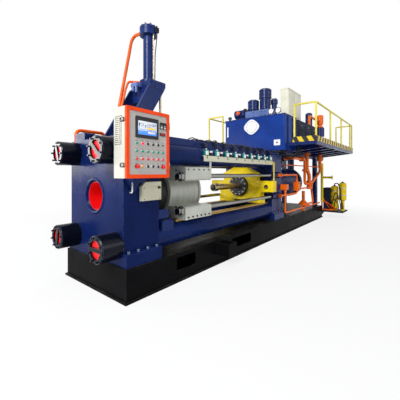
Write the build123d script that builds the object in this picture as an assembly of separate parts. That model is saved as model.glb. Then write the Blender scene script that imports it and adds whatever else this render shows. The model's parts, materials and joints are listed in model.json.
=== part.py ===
from build123d import *
import os
from math import cos, radians, sin

os.makedirs("parts", exist_ok=True)

# Aluminium extrusion press, millimetres, +Z up.
# +X runs along the press from the exit end to the hydraulic end, -Y is the operator's side.
# The origin is on the floor, under the middle of the base, on the press centre plane.
# Stations are distances behind the front platen's face. Rises are heights over the press axis.

# Base
base_length = 8210.0
base_width = 1510.0
base_height = 410.0
floor_plate_thickness = 25.0
floor_plate_lip = 25.0
deck_thickness = 25.0
base_wall_thickness = 20.0
window_sill = 155.0
window_height = 190.0
window_stations = (835.0, 2290.0)
window_lengths = (420.0, 720.0)
window_corner = 20.0
rib_thickness = 20.0
rib_stations = (540.0, 1740.0, 3350.0, 4500.0, 5750.0, 7000.0)
rib_hole_radius = 110.0
step_station = 1780.0
step_length = 240.0
step_reach = 270.0
step_height = 215.0
step_plate = 15.0

# Platens, tie rods and sleeves
front_setback = 20.0
press_axis_height = 1250.0
platen_thickness = 570.0
platen_width = 1336.0
platen_rise = 785.0
platen_gap = 3645.0
platen_edge = 30.0
foot_reach = 67.0
foot_height = 165.0
tie_spacing_y = 1022.0
tie_spacing_z = 1180.0
tie_rod_radius = 112.0
nut_radius = 168.0
nut_length = 283.0
nut_chamfer = 12.0
nut_bolt_radius = 11.0
nut_bolt_length = 22.0
nut_bolt_count = 8
nut_bolt_circle = 142.0
nut_recess_depth = 26.0
keeper_width = 46.0
keeper_angles = (100.0, 0.0, 70.0, 40.0)
rear_nut_length = 190.0
rear_rod_end = 30.0
sleeve_radius = 165.0
sleeve_clearance = 5.0
throat_mouth_radius = 222.0
throat_bore_radius = 196.0
throat_chamfer = 26.0
throat_liner_radius = 184.0
throat_step_radius = 115.0
throat_step_length = 90.0

# Die holder and the die slide's rail
die_holder_depth = 130.0
die_holder_width = 640.0
die_holder_height = 520.0
die_face_proud = 8.0
die_ring_radius = 175.0
die_bore_radius = 80.0
die_rail_reach = 600.0
die_rail_height = 80.0
die_clamp_height = 40.0
saddle_station = 640.0
saddle_length = 220.0
saddle_half_width = 150.0
saddle_rise = 75.0
rail_bracket_length = 190.0
rail_bracket_height = 120.0
rail_bracket_rise = 20.0

# Container
container_station = 880.0
container_length = 910.0
container_bore_radius = 90.0
liner_radius = 160.0
liner_proud = 5.0
seal_ring_length = 150.0
seal_ring_radius = 360.0
seal_ring_edge = 30.0
housing_radius = 410.0
flange_radius = 430.0
flange_edge = 12.0
front_flange_length = 45.0
rear_flange_length = 50.0
container_opening = 170.0
lug_setback = 22.0
lug_side = 738.0
lug_inner = 250.0
lug_gap = 65.0
upper_lug_rise = 195.0
lug_bevel = 22.0
lower_lug_drop = 205.0
shift_rod_radius = 38.0
shift_rod_y = 660.0
shift_rod_z = 257.0
shift_rod_reach = 345.0
shift_nut_radius = 75.0
shift_nut_length = 62.0
shift_tip_radius = 48.0
shift_tip_length = 40.0
shift_barrel_radius = 62.0
shift_barrel_front = 45.0
shift_barrel_length = 440.0
shift_gland_radius = 72.0
shift_gland_length = 40.0

# Guide ways on the lower sleeves
way_flat_drop = 5.0
way_height = 30.0
way_width = 120.0
way_station = 1000.0
running_gap = 5.0

# Crosshead, stem and main ram
crosshead_station = 3800.0
crosshead_thickness = 205.0
arm_reach = 870.0
arm_half_height = 125.0
arm_chamfer = 35.0
arm_port_radius = 30.0
arm_port_y = 708.0
shoulder_half_width = 455.0
shoulder_rise = 310.0
roof_half_width = 160.0
roof_rise = 450.0
foot_half_width = 585.0
foot_inner = 170.0
foot_notch_drop = 245.0
foot_notch_depth = 35.0
belly_drop = 335.0
boss_radius = 330.0
boss_length = 60.0
clamp_radius = 250.0
clamp_thickness = 80.0
clamp_edge = 14.0
collar_radius = 120.0
collar_length = 8.0
stem_radius = 64.0
stem_length = 1000.0
stem_head_radius = 85.0
stem_head_length = 120.0
butt_length = 35.0
ram_radius = 280.0
ram_end_gap = 60.0
ram_clearance = 6.0
main_cylinder_radius = 420.0
main_cylinder_length = 2640.0
main_cylinder_end = 150.0
cylinder_cap_radius = 455.0
cylinder_cap_length = 170.0
cylinder_cap_edge = 20.0
prefill_radius = 210.0
prefill_length = 330.0
prefill_flange_lip = 40.0
prefill_flange_length = 50.0
prefill_nose = 40.0
prefill_nose_step = 60.0
suction_radius = 110.0
gland_radius = 360.0
gland_length = 40.0
pointer_width = 40.0
pointer_thickness = 10.0
pointer_gap = 10.0

# Die shear, heights over the front platen's top
shear_axis_station = 943.0
shear_plate_y = 235.0
shear_plate_thickness = 35.0
shear_foot_front = 240.0
shear_foot_rear = 570.0
shear_elbow_station = 834.0
shear_elbow_rise = 502.0
shear_throat_station = 1055.0
shear_throat_rise = 845.0
shear_head_front = 744.0
shear_head_back = 1085.0
shear_head_rise = 925.0
shear_head_thickness = 50.0
shear_foot_length = 50.0
shear_foot_radius = 140.0
shear_barrel_radius = 84.0
shear_barrel_length = 740.0
shear_cap_radius = 143.0
shear_cap_height = 145.0
shear_cap_groove = 8.0
shear_tie_radius = 10.0
shear_tie_y = 122.0
shear_pipe_lean = 0.21
shear_rod_radius = 45.0
shear_rod_clearance = 6.0
shear_rod_inside = 60.0
shear_stroke = 570.0
shear_web_thickness = 30.0
shear_web_drop = 260.0
blade_thickness = 80.0
blade_gap = 5.0
blade_width = 300.0
blade_rise = 450.0
blade_bevel = 30.0
slide_bottom_rise = 235.0
slide_height = 250.0
slide_thickness = 120.0
slide_half_width = 205.0
slide_web = 90.0
slide_guide_radius = 20.0
slide_guide_y = 168.0
slide_guide_offset = 105.0
slide_guide_low = -315.0
slide_bush_radius = 38.0
top_block_length = 170.0
top_block_height = 110.0
top_block_inner = 280.0
top_block_outer = 560.0

# Operator's cabinet
cabinet_station = -155.0
cabinet_width = 652.0
cabinet_rise = 252.0
cabinet_height = 810.0
cabinet_depth = 212.0
cabinet_gap = 34.0
cabinet_wall = 12.0
cabinet_corner = 8.0
bracket_length = 240.0
bracket_drop = 155.0
bracket_reach = 150.0
door_thickness = 30.0
door_gap = 6.0
door_frame_width = 42.0
door_frame_lip = 12.0
hinge_radius = 10.0
hinge_pin_radius = 5.0
hinge_clearance = 0.05
hinge_length = 90.0
hinge_inset = 150.0
hinge_offset = 14.0
latch_width = 70.0
latch_height = 34.0
latch_depth = 16.0
screen_width = 338.0
screen_height = 247.0
screen_thickness = 14.0
screen_left = 127.0
screen_drop = 95.0
meter_left = 498.0
meter_width = 99.0
meter_height = 85.0
meter_drop = 122.0
display_drop = 253.0
display_height = 36.0
button_radius = 13.0
button_length = 15.0
button_drops = (407.0, 497.0, 586.0)
button_columns = 6
button_pitch = 80.0
button_first = 146.0
stop_row_drop = 673.0
stop_head_radius = 24.0
stop_head_length = 18.0
stop_stem_radius = 10.0
stop_stem_clearance = 0.1
stop_collar_radius = 17.0
stop_collar_length = 14.0
stop_travel = 5.0

# Side box, sensor duct, rail and switches
side_box_station = 241.0
side_box_length = 323.0
side_box_height = 242.0
side_box_drop = 46.0
side_box_depth = 55.0
side_box_bevel = 55.0
duct_height = 105.0
duct_width = 100.0
rail_station = 1510.0
rail_length = 2630.0
rail_face = 716.0
rail_plate = 8.0
rail_bracket_count = 5
rail_bracket_inset = 60.0
rail_bracket_width = 40.0
rail_first_switch = 80.0
rail_drop = 85.0
rail_height = 95.0
switch_count = 9
switch_width = 95.0
switch_depth = 36.0
switch_height = 100.0

# Oil tank
tank_setback = 262.0
tank_length = 850.0
tank_width = 1750.0
tank_height = 890.0
tank_wall = 8.0
tank_edge_radius = 40.0
tank_rib_width = 70.0
tank_rib_depth = 30.0
lid_thickness = 12.0
lid_lip = 12.0
manifold_setback = 130.0
manifold_length = 420.0
manifold_height = 210.0
manifold_near = 383.0
manifold_far = 290.0
tank_pump_radius = 125.0
tank_pump_length = 320.0
tank_pump_rise = 195.0
tank_pump_gap = 75.0

tank_pump_shift = 40.0
tank_pump_flange = 30.0
valve_step = 22.0
big_valve_shift = 60.0
big_valve_near = 170.0
big_valve_radius = 168.0
big_valve_neck = 340.0
big_valve_height = 590.0
left_valve_shift = 20.0
left_valve_far = 145.0
left_valve_neck = 50.0
left_valve_radius = 155.0
left_valve_height = 320.0
right_valve_near = 330.0
right_valve_gap = 5.0
right_valve_radius = 95.0
right_valve_neck = 420.0
right_valve_height = 560.0

# Platform
frame_beam_height = 100.0
frame_beam_width = 120.0
frame_beam_y = 560.0
column_width = 120.0
column_length = 200.0
column_inset = 270.0
floor_rise = 180.0
deck_plate = 15.0
platform_setback = 385.0
platform_overhang = 700.0
platform_half_width = 1600.0
bearer_width = 100.0
bearer_count = 5
bearer_overhang = 70.0
edge_channel_height = 60.0
edge_channel_web = 10.0
edge_channel_flange = 60.0
walkway_gap = 10.0
toe_height = 125.0
toe_thickness = 8.0
rail_tube = 22.0
railing_height = 915.0
railing_inset = 31.0
railing_pitch = 1300.0
front_board_gap = 115.0

# Pump enclosure, deck pumps and electrical cabinet
enclosure_gap = 90.0
enclosure_length = 1780.0
enclosure_front = 850.0
enclosure_depth = 560.0
enclosure_height = 715.0
enclosure_edge = 60.0
deck_motor_radius = 110.0
deck_motor_height = 1265.0
deck_motor_near = 540.0
deck_motor_flange = 30.0
deck_motor_step = 40.0
deck_pump_radius = 145.0
deck_pump_height = 830.0
deck_pump_flange = 40.0
deck_pump_step = 55.0
deck_pump_edge = 25.0
deck_valve_radius = 115.0
deck_valve_height = 430.0
deck_valve_foot = 35.0
deck_valve_neck_top = 110.0
deck_valve_edge = 30.0
electrical_inset = 500.0
electrical_length = 1180.0
electrical_depth = 246.0
electrical_shift = 54.0
electrical_height = 1985.0

# Pipes
thin_pipe_radius = 16.0
side_pipe_radius = 22.0
middle_pipe_radius = 40.0
thick_pipe_radius = 55.0
shear_pipe_radius = 26.0
drop_pipe_radius = 44.0
stub_pipe_radius = 36.0
pipe_plane = 770.0
port_block_inset = 150.0
port_block_length = 90.0
port_block_height = 80.0
port_block_depth = 35.0
middle_block_setback = 1400.0
middle_block_length = 220.0
middle_block_height = 240.0
middle_block_near = 75.0
middle_block_far = 60.0
middle_block_corner = 15.0
junction_setback = 2500.0
junction_drop = 60.0
junction_radius = 75.0
junction_height = 260.0
platen_block_length = 140.0
platen_block_near = 60.0
platen_block_drop = 60.0
platen_block_rise = 80.0
drain_rise = 130.0
drain_end_inset = 380.0
link_drop = 80.0
arch_foot_setback = 330.0
arch_foot_rise = 300.0
arch_foot_run = 215.0
arch_foot_step = 30.0
arch_drop = 65.0
arch_back_inset = 420.0
thick_pipe_inset = 230.0
thick_pipe_rise = 510.0
thick_pipe_low_rise = 290.0
bowl_inset = 330.0
bowl_wall_gap = 55.0
bowl_rise = 175.0
bowl_radius = 150.0
bowl_rim = 40.0
bowl_shoulder = 110.0
bowl_shoulder_height = 80.0
bowl_neck_radius = 60.0
bowl_neck_height = 140.0
bowl_pipe_radius = 45.0
bowl_height = 430.0
bowl_post_radius = 40.0
bowl_pipe_rise = 30.0
bowl_pipe_bend = 175.0
bowl_pipe_back = 380.0
bowl_pipe_front = 200.0
riser_inset = 180.0
riser_near = 730.0
riser_height = 560.0
riser_collar_radius = 95.0
riser_collar_low = 230.0
riser_collar_high = 330.0
riser_body_radius = 78.0
riser_foot_drop = 140.0
riser_run_start = 235.0
riser_run_rise = 60.0
thin_pipe_rise = 530.0
thin_pipe_step = 80.0
thin_pipe_first_run = 465.0
thin_pipe_crossing = 150.0
thin_pipe_end_run = 200.0
thin_pipe_end_gap = 40.0
thin_pipe_front_y = 340.0
thin_pipe_back_y = 600.0
drop_pipe_setback = 90.0
drop_pipe_foot = 300.0
drop_stub_rise = 150.0
drop_stub_length = 350.0
drop_flange_thickness = 20.0
drop_elbow_rise = 100.0
drop_pipe_overlap = 60.0
elbow_inset = 350.0
shear_foot_pipe_station = 500.0
shear_foot_pipe_top = 300.0
shear_bend_station = 560.0
shear_bend_rise = 565.0
shear_shoulder_station = 635.0
shear_shoulder_drop = 60.0
shear_entry_station = 690.0
shear_entry_reach = 93.0
shear_entry_far = 60.0
far_pipe_front = 35.0
far_pipe_back = 520.0
far_pipe_rise = 70.0
far_pipe_gap = 40.0

# Rear pump unit
shelf_height = 190.0
shelf_thickness = 40.0
shelf_length = 760.0
shelf_near = 1420.0
shelf_far = 560.0
shelf_back_low = 20.0
shelf_back_inset = 10.0
shelf_brace_low = 40.0
shelf_brace_thickness = 30.0
filter_radius = 120.0
filter_height = 860.0
cooler_width = 190.0
cooler_length = 420.0
cooler_height = 800.0
cooler_setback = 160.0
filter_gap = 15.0

base_half = base_length / 2
side_half = base_width / 2
wall_bottom = floor_plate_thickness
deck_bottom = base_height - deck_thickness
front_face = -base_half + front_setback
platen_rear = front_face + platen_thickness
rear_face = platen_rear + platen_gap
rear_back = rear_face + platen_thickness
die_face = platen_rear + die_holder_depth
half_platen = platen_width / 2
platen_top = press_axis_height + platen_rise
tie_y = tie_spacing_y / 2
tie_z = tie_spacing_z / 2
upper_tie = press_axis_height + tie_z
lower_tie = press_axis_height - tie_z
tie_points = [(y, z) for z in (lower_tie, upper_tie) for y in (tie_y, -tie_y)]
rod_points = [
    (y, press_axis_height + z) for z in (-shift_rod_z, shift_rod_z) for y in (-shift_rod_y, shift_rod_y)
]
sleeve_flat = sleeve_radius - way_flat_drop
way_bottom = lower_tie + sleeve_flat
way_top = way_bottom + way_height
ring_front = front_face + container_station
ring_back = ring_front + seal_ring_length
lug_front = ring_back + lug_setback - flange_edge
lug_back = ring_front + container_length - rear_flange_length - lug_gap
crosshead_front = front_face + crosshead_station
crosshead_back = crosshead_front + crosshead_thickness
cylinder_back = rear_face + main_cylinder_length
tank_bottom = platen_top + frame_beam_height
tank_top = tank_bottom + tank_height
tank_front = rear_face + tank_setback
tank_back = tank_front + tank_length
tank_half = tank_width / 2
walkway_inner = tank_half + tank_rib_depth + walkway_gap
lid_top = tank_top + lid_thickness
deck_level = tank_bottom + floor_rise
platform_front = rear_face + platform_setback
platform_back = base_half + platform_overhang
bearer_first = tank_back + enclosure_gap
bearer_last = base_half + bearer_overhang - bearer_width - edge_channel_web
bearer_pitch = (bearer_last - bearer_first) / (bearer_count - 1)
bearer_starts = [bearer_first + number * bearer_pitch for number in range(bearer_count)]
bearer_starts.append(platform_back - bearer_width - edge_channel_web)
board_inner = walkway_inner + front_board_gap


def block(x0, x1, y0, y1, z0, z1):
    middle = ((x0 + x1) / 2, (y0 + y1) / 2, (z0 + z1) / 2)
    return Pos(*middle) * Box(abs(x1 - x0), abs(y1 - y0), abs(z1 - z0))


def rod_x(x0, x1, radius, y=0.0, z=press_axis_height):
    return Pos((x0 + x1) / 2, y, z) * Rot(0, 90, 0) * Cylinder(radius, abs(x1 - x0))


def rod_y(y0, y1, radius, x, z):
    return Pos(x, (y0 + y1) / 2, z) * Rot(90, 0, 0) * Cylinder(radius, abs(y1 - y0))


def rod_z(z0, z1, radius, x, y):
    return Pos(x, y, (z0 + z1) / 2) * Cylinder(radius, abs(z1 - z0))


def turned_x(profile, y=0.0, z=press_axis_height):
    """Turned piece about a line along X, from (x, radius) points."""
    outline = [Vector(x, 0, radius) for x, radius in profile]
    return Pos(0, y, z) * revolve(make_face(Polyline(*outline, close=True)), Axis.X)


def turned_z(profile, x, y, base=0.0):
    """Turned piece about a vertical line, from (radius, height over its base) points."""
    outline = [Vector(radius, 0, z) for radius, z in profile]
    return Pos(x, y, base) * revolve(make_face(Polyline(*outline, close=True)), Axis.Z)


def slab_x(points, x0, x1):
    """Plate of constant outline in Y and Z, from x0 to x1."""
    outline = [Vector(x0, y, z) for y, z in points]
    return extrude(make_face(Polyline(*outline, close=True)), amount=x1 - x0, dir=(1, 0, 0))


def slab_y(points, y0, y1):
    """Plate of constant outline in X and Z, from y0 to y1."""
    outline = [Vector(x, y0, z) for x, z in points]
    return extrude(make_face(Polyline(*outline, close=True)), amount=y1 - y0, dir=(0, 1, 0))


def pipe(points, radius, bend):
    """Pipe of straight runs and equal bends."""
    path = FilletPolyline(*points, radius=bend) if len(points) > 2 else Line(*points)
    start = Plane(origin=path @ 0, z_dir=path % 0)
    return sweep(start * Circle(radius), path=path)


def other_side(shape):
    return mirror(shape, about=Plane.XZ)


def top_edges(shape, axis):
    return shape.edges().filter_by(axis).group_by(Axis.Z)[-1]


def save(name, *pieces):
    solids = [solid for piece in pieces for solid in piece.solids()]
    shape = solids[0] if len(solids) == 1 else Compound(solids)
    export_step(shape, f"parts/{name}.step")


# Base: floor plate, deck, side walls with windows, end walls and ribs


def base_plates():
    reach = base_half + floor_plate_lip
    side = side_half + floor_plate_lip
    floor = block(-reach, reach, -side, side, 0, floor_plate_thickness)
    deck = block(-base_half, base_half, -side_half, side_half, deck_bottom, base_height)
    save("base_plates", floor, deck)


def base_side_walls():
    inner = side_half - base_wall_thickness
    wall = block(-base_half, base_half, -side_half, -inner, wall_bottom, deck_bottom)
    for station, length in zip(window_stations, window_lengths):
        x0 = front_face + station
        hole = block(
            x0, x0 + length, -side_half - 5, -inner + 5, window_sill, window_sill + window_height,
        )
        wall -= fillet(hole.edges().filter_by(Axis.Y), window_corner)
    save("base_side_walls", wall + base_step(), other_side(wall))


def base_step():
    """Open box bracket on the near side of the base."""
    x0 = front_face + step_station
    x1 = x0 + step_length
    y0 = -side_half - step_reach
    z1 = base_height - deck_thickness
    z0 = z1 - step_height
    step = block(x0, x1, y0, -side_half, z0, z1)
    step -= block(
        x0 + step_plate, x1 - step_plate, y0 + step_plate, -side_half - step_plate,
        z0 + step_plate, z1 + 5,
    )
    return step


def base_cross_walls():
    side = side_half - base_wall_thickness
    walls = []
    for x0 in (-base_half, base_half - base_wall_thickness):
        walls.append(block(x0, x0 + base_wall_thickness, -side, side, wall_bottom, deck_bottom))
    for station in rib_stations:
        x0 = front_face + station
        rib = block(x0, x0 + rib_thickness, -side, side, wall_bottom, deck_bottom)
        for y in (-side / 2, side / 2):
            rib -= rod_x(x0 - 5, x0 + rib_thickness + 5, rib_hole_radius, y, (wall_bottom + deck_bottom) / 2)
        walls.append(rib)
    save("base_cross_walls", *walls)


# Platens, throat, nuts, tie rods and sleeves


def platen(x0):
    body = block(x0, x0 + platen_thickness, -half_platen, half_platen, base_height, platen_top)
    body = fillet(top_edges(body, Axis.X), platen_edge)
    foot = block(
        x0, x0 + platen_thickness, -half_platen - foot_reach, -half_platen,
        base_height, base_height + foot_height,
    )
    foot = chamfer(top_edges(foot, Axis.X).sort_by(Axis.Y)[0], platen_edge / 2)
    body += foot
    body += other_side(foot)
    for y, z in tie_points:
        body -= rod_x(x0 - 5, x0 + platen_thickness + 5, tie_rod_radius, y, z)
    return body


cabinet_back = -half_platen - cabinet_gap
cabinet_front = cabinet_back - cabinet_depth
cabinet_x = front_face + cabinet_station
cabinet_bottom = press_axis_height + cabinet_rise
cabinet_top = cabinet_bottom + cabinet_height


def front_platen():
    body = platen(front_face)
    body -= turned_x(
        [
            (front_face - 1, 0), (front_face - 1, throat_mouth_radius + 1),
            (front_face + throat_chamfer, throat_bore_radius),
            (platen_rear + 1, throat_bore_radius), (platen_rear + 1, 0),
        ]
    )
    top_block = block(
        front_face + 5, front_face + 5 + top_block_length, top_block_inner, top_block_outer,
        platen_top, platen_top + top_block_height,
    )
    body += fillet(top_edges(top_block, Axis.X), top_block_height / 3)
    save("front_platen", body)
    x0 = front_face + 10
    x1 = x0 + bracket_length
    top = cabinet_bottom
    gusset = slab_y(
        [
            (x0, top), (x1, top), ((x0 + x1) / 2 + 20, top - bracket_drop),
            ((x0 + x1) / 2 - 20, top - bracket_drop),
        ],
        -half_platen - bracket_reach, -half_platen,
    )
    gusset -= block(
        x0 - 5, x1 + 5, -half_platen - bracket_reach - 5, -half_platen - 40,
        top - bracket_drop - 5, top - bracket_drop / 3,
    )
    back = block(x0, platen_rear - 10, cabinet_back, -half_platen, top, top + cabinet_height / 2)
    save("cabinet_bracket", gusset + back)


def exit_throat():
    x0 = front_face + throat_chamfer
    x1 = platen_rear - throat_step_length
    save(
        "exit_throat",
        turned_x(
            [
                (x0, throat_liner_radius), (x0, throat_bore_radius), (platen_rear, throat_bore_radius),
                (platen_rear, throat_step_radius), (x1, throat_step_radius), (x1, throat_liner_radius),
            ]
        ),
    )


def die_holder():
    half_width = die_holder_width / 2
    half_height = die_holder_height / 2
    low = press_axis_height - half_height
    high = press_axis_height + half_height
    plate_front = die_face - die_face_proud
    body = block(platen_rear, plate_front, -half_width, half_width, low, high)
    body = chamfer(body.edges().filter_by(Axis.X), half_width / 8)
    body += rod_x(plate_front, die_face, die_ring_radius)
    body -= rod_x(platen_rear - 5, die_face + 5, die_bore_radius)
    save("die_holder", body)
    rail = block(platen_rear, plate_front, -die_rail_reach, die_rail_reach, low - die_rail_height, low)
    clamp = block(platen_rear, plate_front, -half_width, half_width, high, high + die_clamp_height)
    bracket_low = low - die_rail_height + rail_bracket_rise
    bracket = block(
        platen_rear, platen_rear + rail_bracket_length, -half_platen, -die_rail_reach,
        bracket_low, bracket_low + rail_bracket_height,
    )
    bracket = chamfer(bracket.edges().filter_by(Axis.Y).group_by(Axis.X)[-1], rail_bracket_height / 4)
    saddle = sleeve_saddle()
    save("die_guides", rail + bracket + other_side(bracket), clamp, saddle, other_side(saddle))


def sleeve_saddle():
    """Clamp that hugs a lower sleeve beside the die."""
    x0 = front_face + saddle_station
    x1 = x0 + saddle_length
    top = way_bottom + saddle_rise
    saddle = block(x0, x1, -tie_y - saddle_half_width, -tie_y + saddle_half_width, lower_tie + 80, top)
    saddle = chamfer(top_edges(saddle, Axis.X), saddle_rise / 3)
    saddle -= rod_x(x0 - 5, x1 + 5, sleeve_radius, -tie_y, lower_tie)
    return saddle


def tie_rod_nuts():
    nuts = []
    x0 = front_face - nut_length
    x1 = rear_back + rear_nut_length
    for (y, z), angle in zip(tie_points, keeper_angles):
        nut = turned_x(
            [
                (x0, tie_rod_radius + 2), (x0, nut_radius - nut_chamfer), (x0 + nut_chamfer, nut_radius),
                (front_face, nut_radius), (front_face, tie_rod_radius),
                (x0 + nut_recess_depth, tie_rod_radius), (x0 + nut_recess_depth, tie_rod_radius + 2),
            ],
            y, z,
        )
        keeper = Pos(x0 + nut_recess_depth / 2, y, z) * Rot(angle, 0, 0) * Box(
            nut_recess_depth, 2 * tie_rod_radius + 10, keeper_width,
        )
        nut += keeper
        for number in range(nut_bolt_count):
            turn = radians(angle + 360 * (number + 0.5) / nut_bolt_count)
            nut += rod_x(
                x0 - nut_bolt_length, x0, nut_bolt_radius,
                y + nut_bolt_circle * cos(turn), z + nut_bolt_circle * sin(turn),
            )
        nuts.append(nut)
        nuts.append(
            turned_x(
                [
                    (rear_back, tie_rod_radius), (rear_back, nut_radius), (x1 - nut_chamfer, nut_radius),
                    (x1, nut_radius - nut_chamfer), (x1, tie_rod_radius),
                ],
                y, z,
            )
        )
    save("tie_rod_nuts", *nuts)


def tie_rods():
    start = front_face - nut_length + nut_recess_depth
    end = rear_back + rear_nut_length + rear_rod_end
    save("tie_rods", *[rod_x(start, end, tie_rod_radius, y, z) for y, z in tie_points])


def compression_sleeves():
    bore = tie_rod_radius + sleeve_clearance
    sleeves = []
    for y, z in tie_points:
        sleeve = rod_x(platen_rear, rear_face, sleeve_radius, y, z)
        sleeve -= rod_x(platen_rear - 5, rear_face + 5, bore, y, z)
        flat = z + sleeve_flat
        sleeve -= block(
            platen_rear - 5, rear_face + 5, y - sleeve_radius, y + sleeve_radius, flat, flat + sleeve_radius,
        )
        sleeves.append(sleeve)
    save("compression_sleeves", *sleeves)


def guide_ways():
    way = block(
        front_face + way_station, rear_face, -tie_y - way_width / 2, -tie_y + way_width / 2,
        way_bottom, way_top,
    )
    save("guide_ways", way, other_side(way))


# Container: housing, seal ring, liner, lugs, shift rods and pointer


def container_housing():
    flange_back = ring_back + front_flange_length
    back = ring_front + container_length
    rim = back - rear_flange_length
    housing = turned_x(
        [
            (ring_back, liner_radius), (ring_back, flange_radius - flange_edge),
            (ring_back + flange_edge, flange_radius), (flange_back, flange_radius),
            (flange_back, housing_radius), (rim, housing_radius), (rim, flange_radius),
            (back - flange_edge, flange_radius), (back, flange_radius - flange_edge), (back, liner_radius),
        ]
    )
    save("container_housing", housing)
    ring = turned_x(
        [
            (ring_front, liner_radius), (ring_front, seal_ring_radius - seal_ring_edge),
            (ring_front + seal_ring_edge, seal_ring_radius), (ring_back, seal_ring_radius),
            (ring_back, liner_radius),
        ]
    )
    save("seal_ring", ring)
    liner = rod_x(ring_front - liner_proud, back + liner_proud, liner_radius)
    liner -= rod_x(ring_front - 20, back + 20, container_bore_radius)
    save("container_liner", liner)


upper_lug_low = press_axis_height + upper_lug_rise
upper_lug_top = upper_tie - sleeve_radius - 4 * running_gap
lower_lug_top = press_axis_height - lower_lug_drop
lower_lug_low = way_top + running_gap


def container_lugs():
    upper = block(lug_front, lug_back, -lug_side, -lug_inner, upper_lug_low, upper_lug_top)
    upper = chamfer(upper.edges().filter_by(Axis.X).sort_by(Axis.Y)[0:2], lug_bevel)
    lower = block(lug_front, lug_back, -lug_side, -lug_inner, lower_lug_low, lower_lug_top)
    lower = chamfer(top_edges(lower, Axis.X).sort_by(Axis.Y)[0], lug_bevel)
    lugs = []
    for lug in (upper, lower):
        lug -= rod_x(lug_front - 5, lug_back + 5, housing_radius)
        lug -= rod_x(lug_front - 5, ring_back + front_flange_length, flange_radius)
        lugs.append(lug)
        lugs.append(other_side(lug))
    save("container_lugs", *lugs)


def shift_rods():
    pieces = []
    for y, z in rod_points:
        pieces.append(rod_x(lug_back, rear_face + shift_rod_reach, shift_rod_radius, y, z))
        x0 = lug_front - shift_nut_length
        nut = Pos(x0 + shift_nut_length / 2, y, z) * Rot(0, 90, 0) * extrude(
            RegularPolygon(shift_nut_radius, 6), amount=shift_nut_length / 2, both=True,
        )
        nut = chamfer(nut.faces().sort_by(Axis.X)[0].edges(), 8)
        nut += rod_x(x0 - shift_tip_length, x0, shift_tip_radius, y, z)
        pieces.append(nut)
    save("shift_rods", *pieces)


rail_bottom = upper_tie - rail_drop
rail_top = rail_bottom + rail_height


def container_pointer():
    post = block(
        lug_back - pointer_width - 10, lug_back - 10, -lug_side - pointer_thickness, -lug_side,
        upper_lug_low + 40, rail_bottom - pointer_gap,
    )
    save("container_pointer", post)


# Crosshead with its pointer, stem, clamp and ram


def crosshead():
    axis = press_axis_height
    foot_bottom = way_top + running_gap
    arm_top = axis + arm_half_height
    arm_bottom = axis - arm_half_height
    belly = axis - belly_drop
    notch = axis - foot_notch_drop
    half = [
        (0, axis + roof_rise), (roof_half_width, axis + roof_rise),
        (shoulder_half_width, axis + shoulder_rise), (shoulder_half_width, arm_top),
        (arm_reach, arm_top), (arm_reach, arm_bottom), (foot_half_width, arm_bottom),
        (foot_half_width - foot_notch_depth, notch + foot_notch_depth), (foot_half_width, notch),
        (foot_half_width, foot_bottom), (foot_inner, foot_bottom), (foot_inner - 40, belly), (0, belly),
    ]
    outline = half + [(-y, z) for y, z in reversed(half[1:-1])]
    body = slab_x(outline, crosshead_front, crosshead_back)
    front = body.edges().filter_by(Axis.Z)
    front = front.filter_by_position(Axis.X, crosshead_front - 1, crosshead_front + 1)
    tips = front.sort_by(Axis.Y)
    body = chamfer([tips[0], tips[-1]], arm_chamfer)
    body += rod_x(crosshead_back, crosshead_back + boss_length, boss_radius)
    for y in (-arm_port_y, arm_port_y):
        body -= rod_x(crosshead_front - 5, crosshead_back + 5, arm_port_radius, y)
    x0 = crosshead_front + pointer_width
    x1 = x0 + pointer_width
    top = rail_bottom + rail_height / 2
    body += block(x0, x1, -arm_reach - pointer_thickness, -arm_reach, arm_bottom + 60, top)
    body += block(
        x0, x1, -arm_reach, -rail_face - pointer_gap, top - pointer_thickness, top,
    )
    save("crosshead", body)


def stem():
    clamp_front = crosshead_front - clamp_thickness
    x0 = clamp_front - stem_length
    head = x0 + stem_head_length
    shaft = turned_x(
        [
            (x0, 0), (x0, stem_head_radius - 6), (x0 + 6, stem_head_radius), (head, stem_head_radius),
            (head + 30, stem_radius), (crosshead_front, stem_radius), (crosshead_front, 0),
        ]
    )
    save("stem", shaft)
    clamp = turned_x(
        [
            (crosshead_front, stem_radius), (crosshead_front, clamp_radius),
            (clamp_front + clamp_edge, clamp_radius), (clamp_front, clamp_radius - clamp_edge),
            (clamp_front, collar_radius), (clamp_front - collar_length, collar_radius - clamp_edge),
            (clamp_front - collar_length, stem_radius),
        ]
    )
    save("stem_clamp", clamp)


def main_ram():
    start = crosshead_back + boss_length
    end = cylinder_back - main_cylinder_end - ram_end_gap
    save("main_ram", rod_x(start, end, ram_radius))


# Rear platen, main cylinder and shift cylinders


def rear_platen():
    body = platen(rear_face)
    body -= rod_x(rear_face - 5, rear_back + 5, main_cylinder_radius)
    pocket = shift_gland_radius + running_gap
    for y, z in rod_points:
        body -= rod_x(rear_face - 5, rear_face + shift_barrel_length + 4 * running_gap, pocket, y, z)
    save("rear_platen", body)


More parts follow.
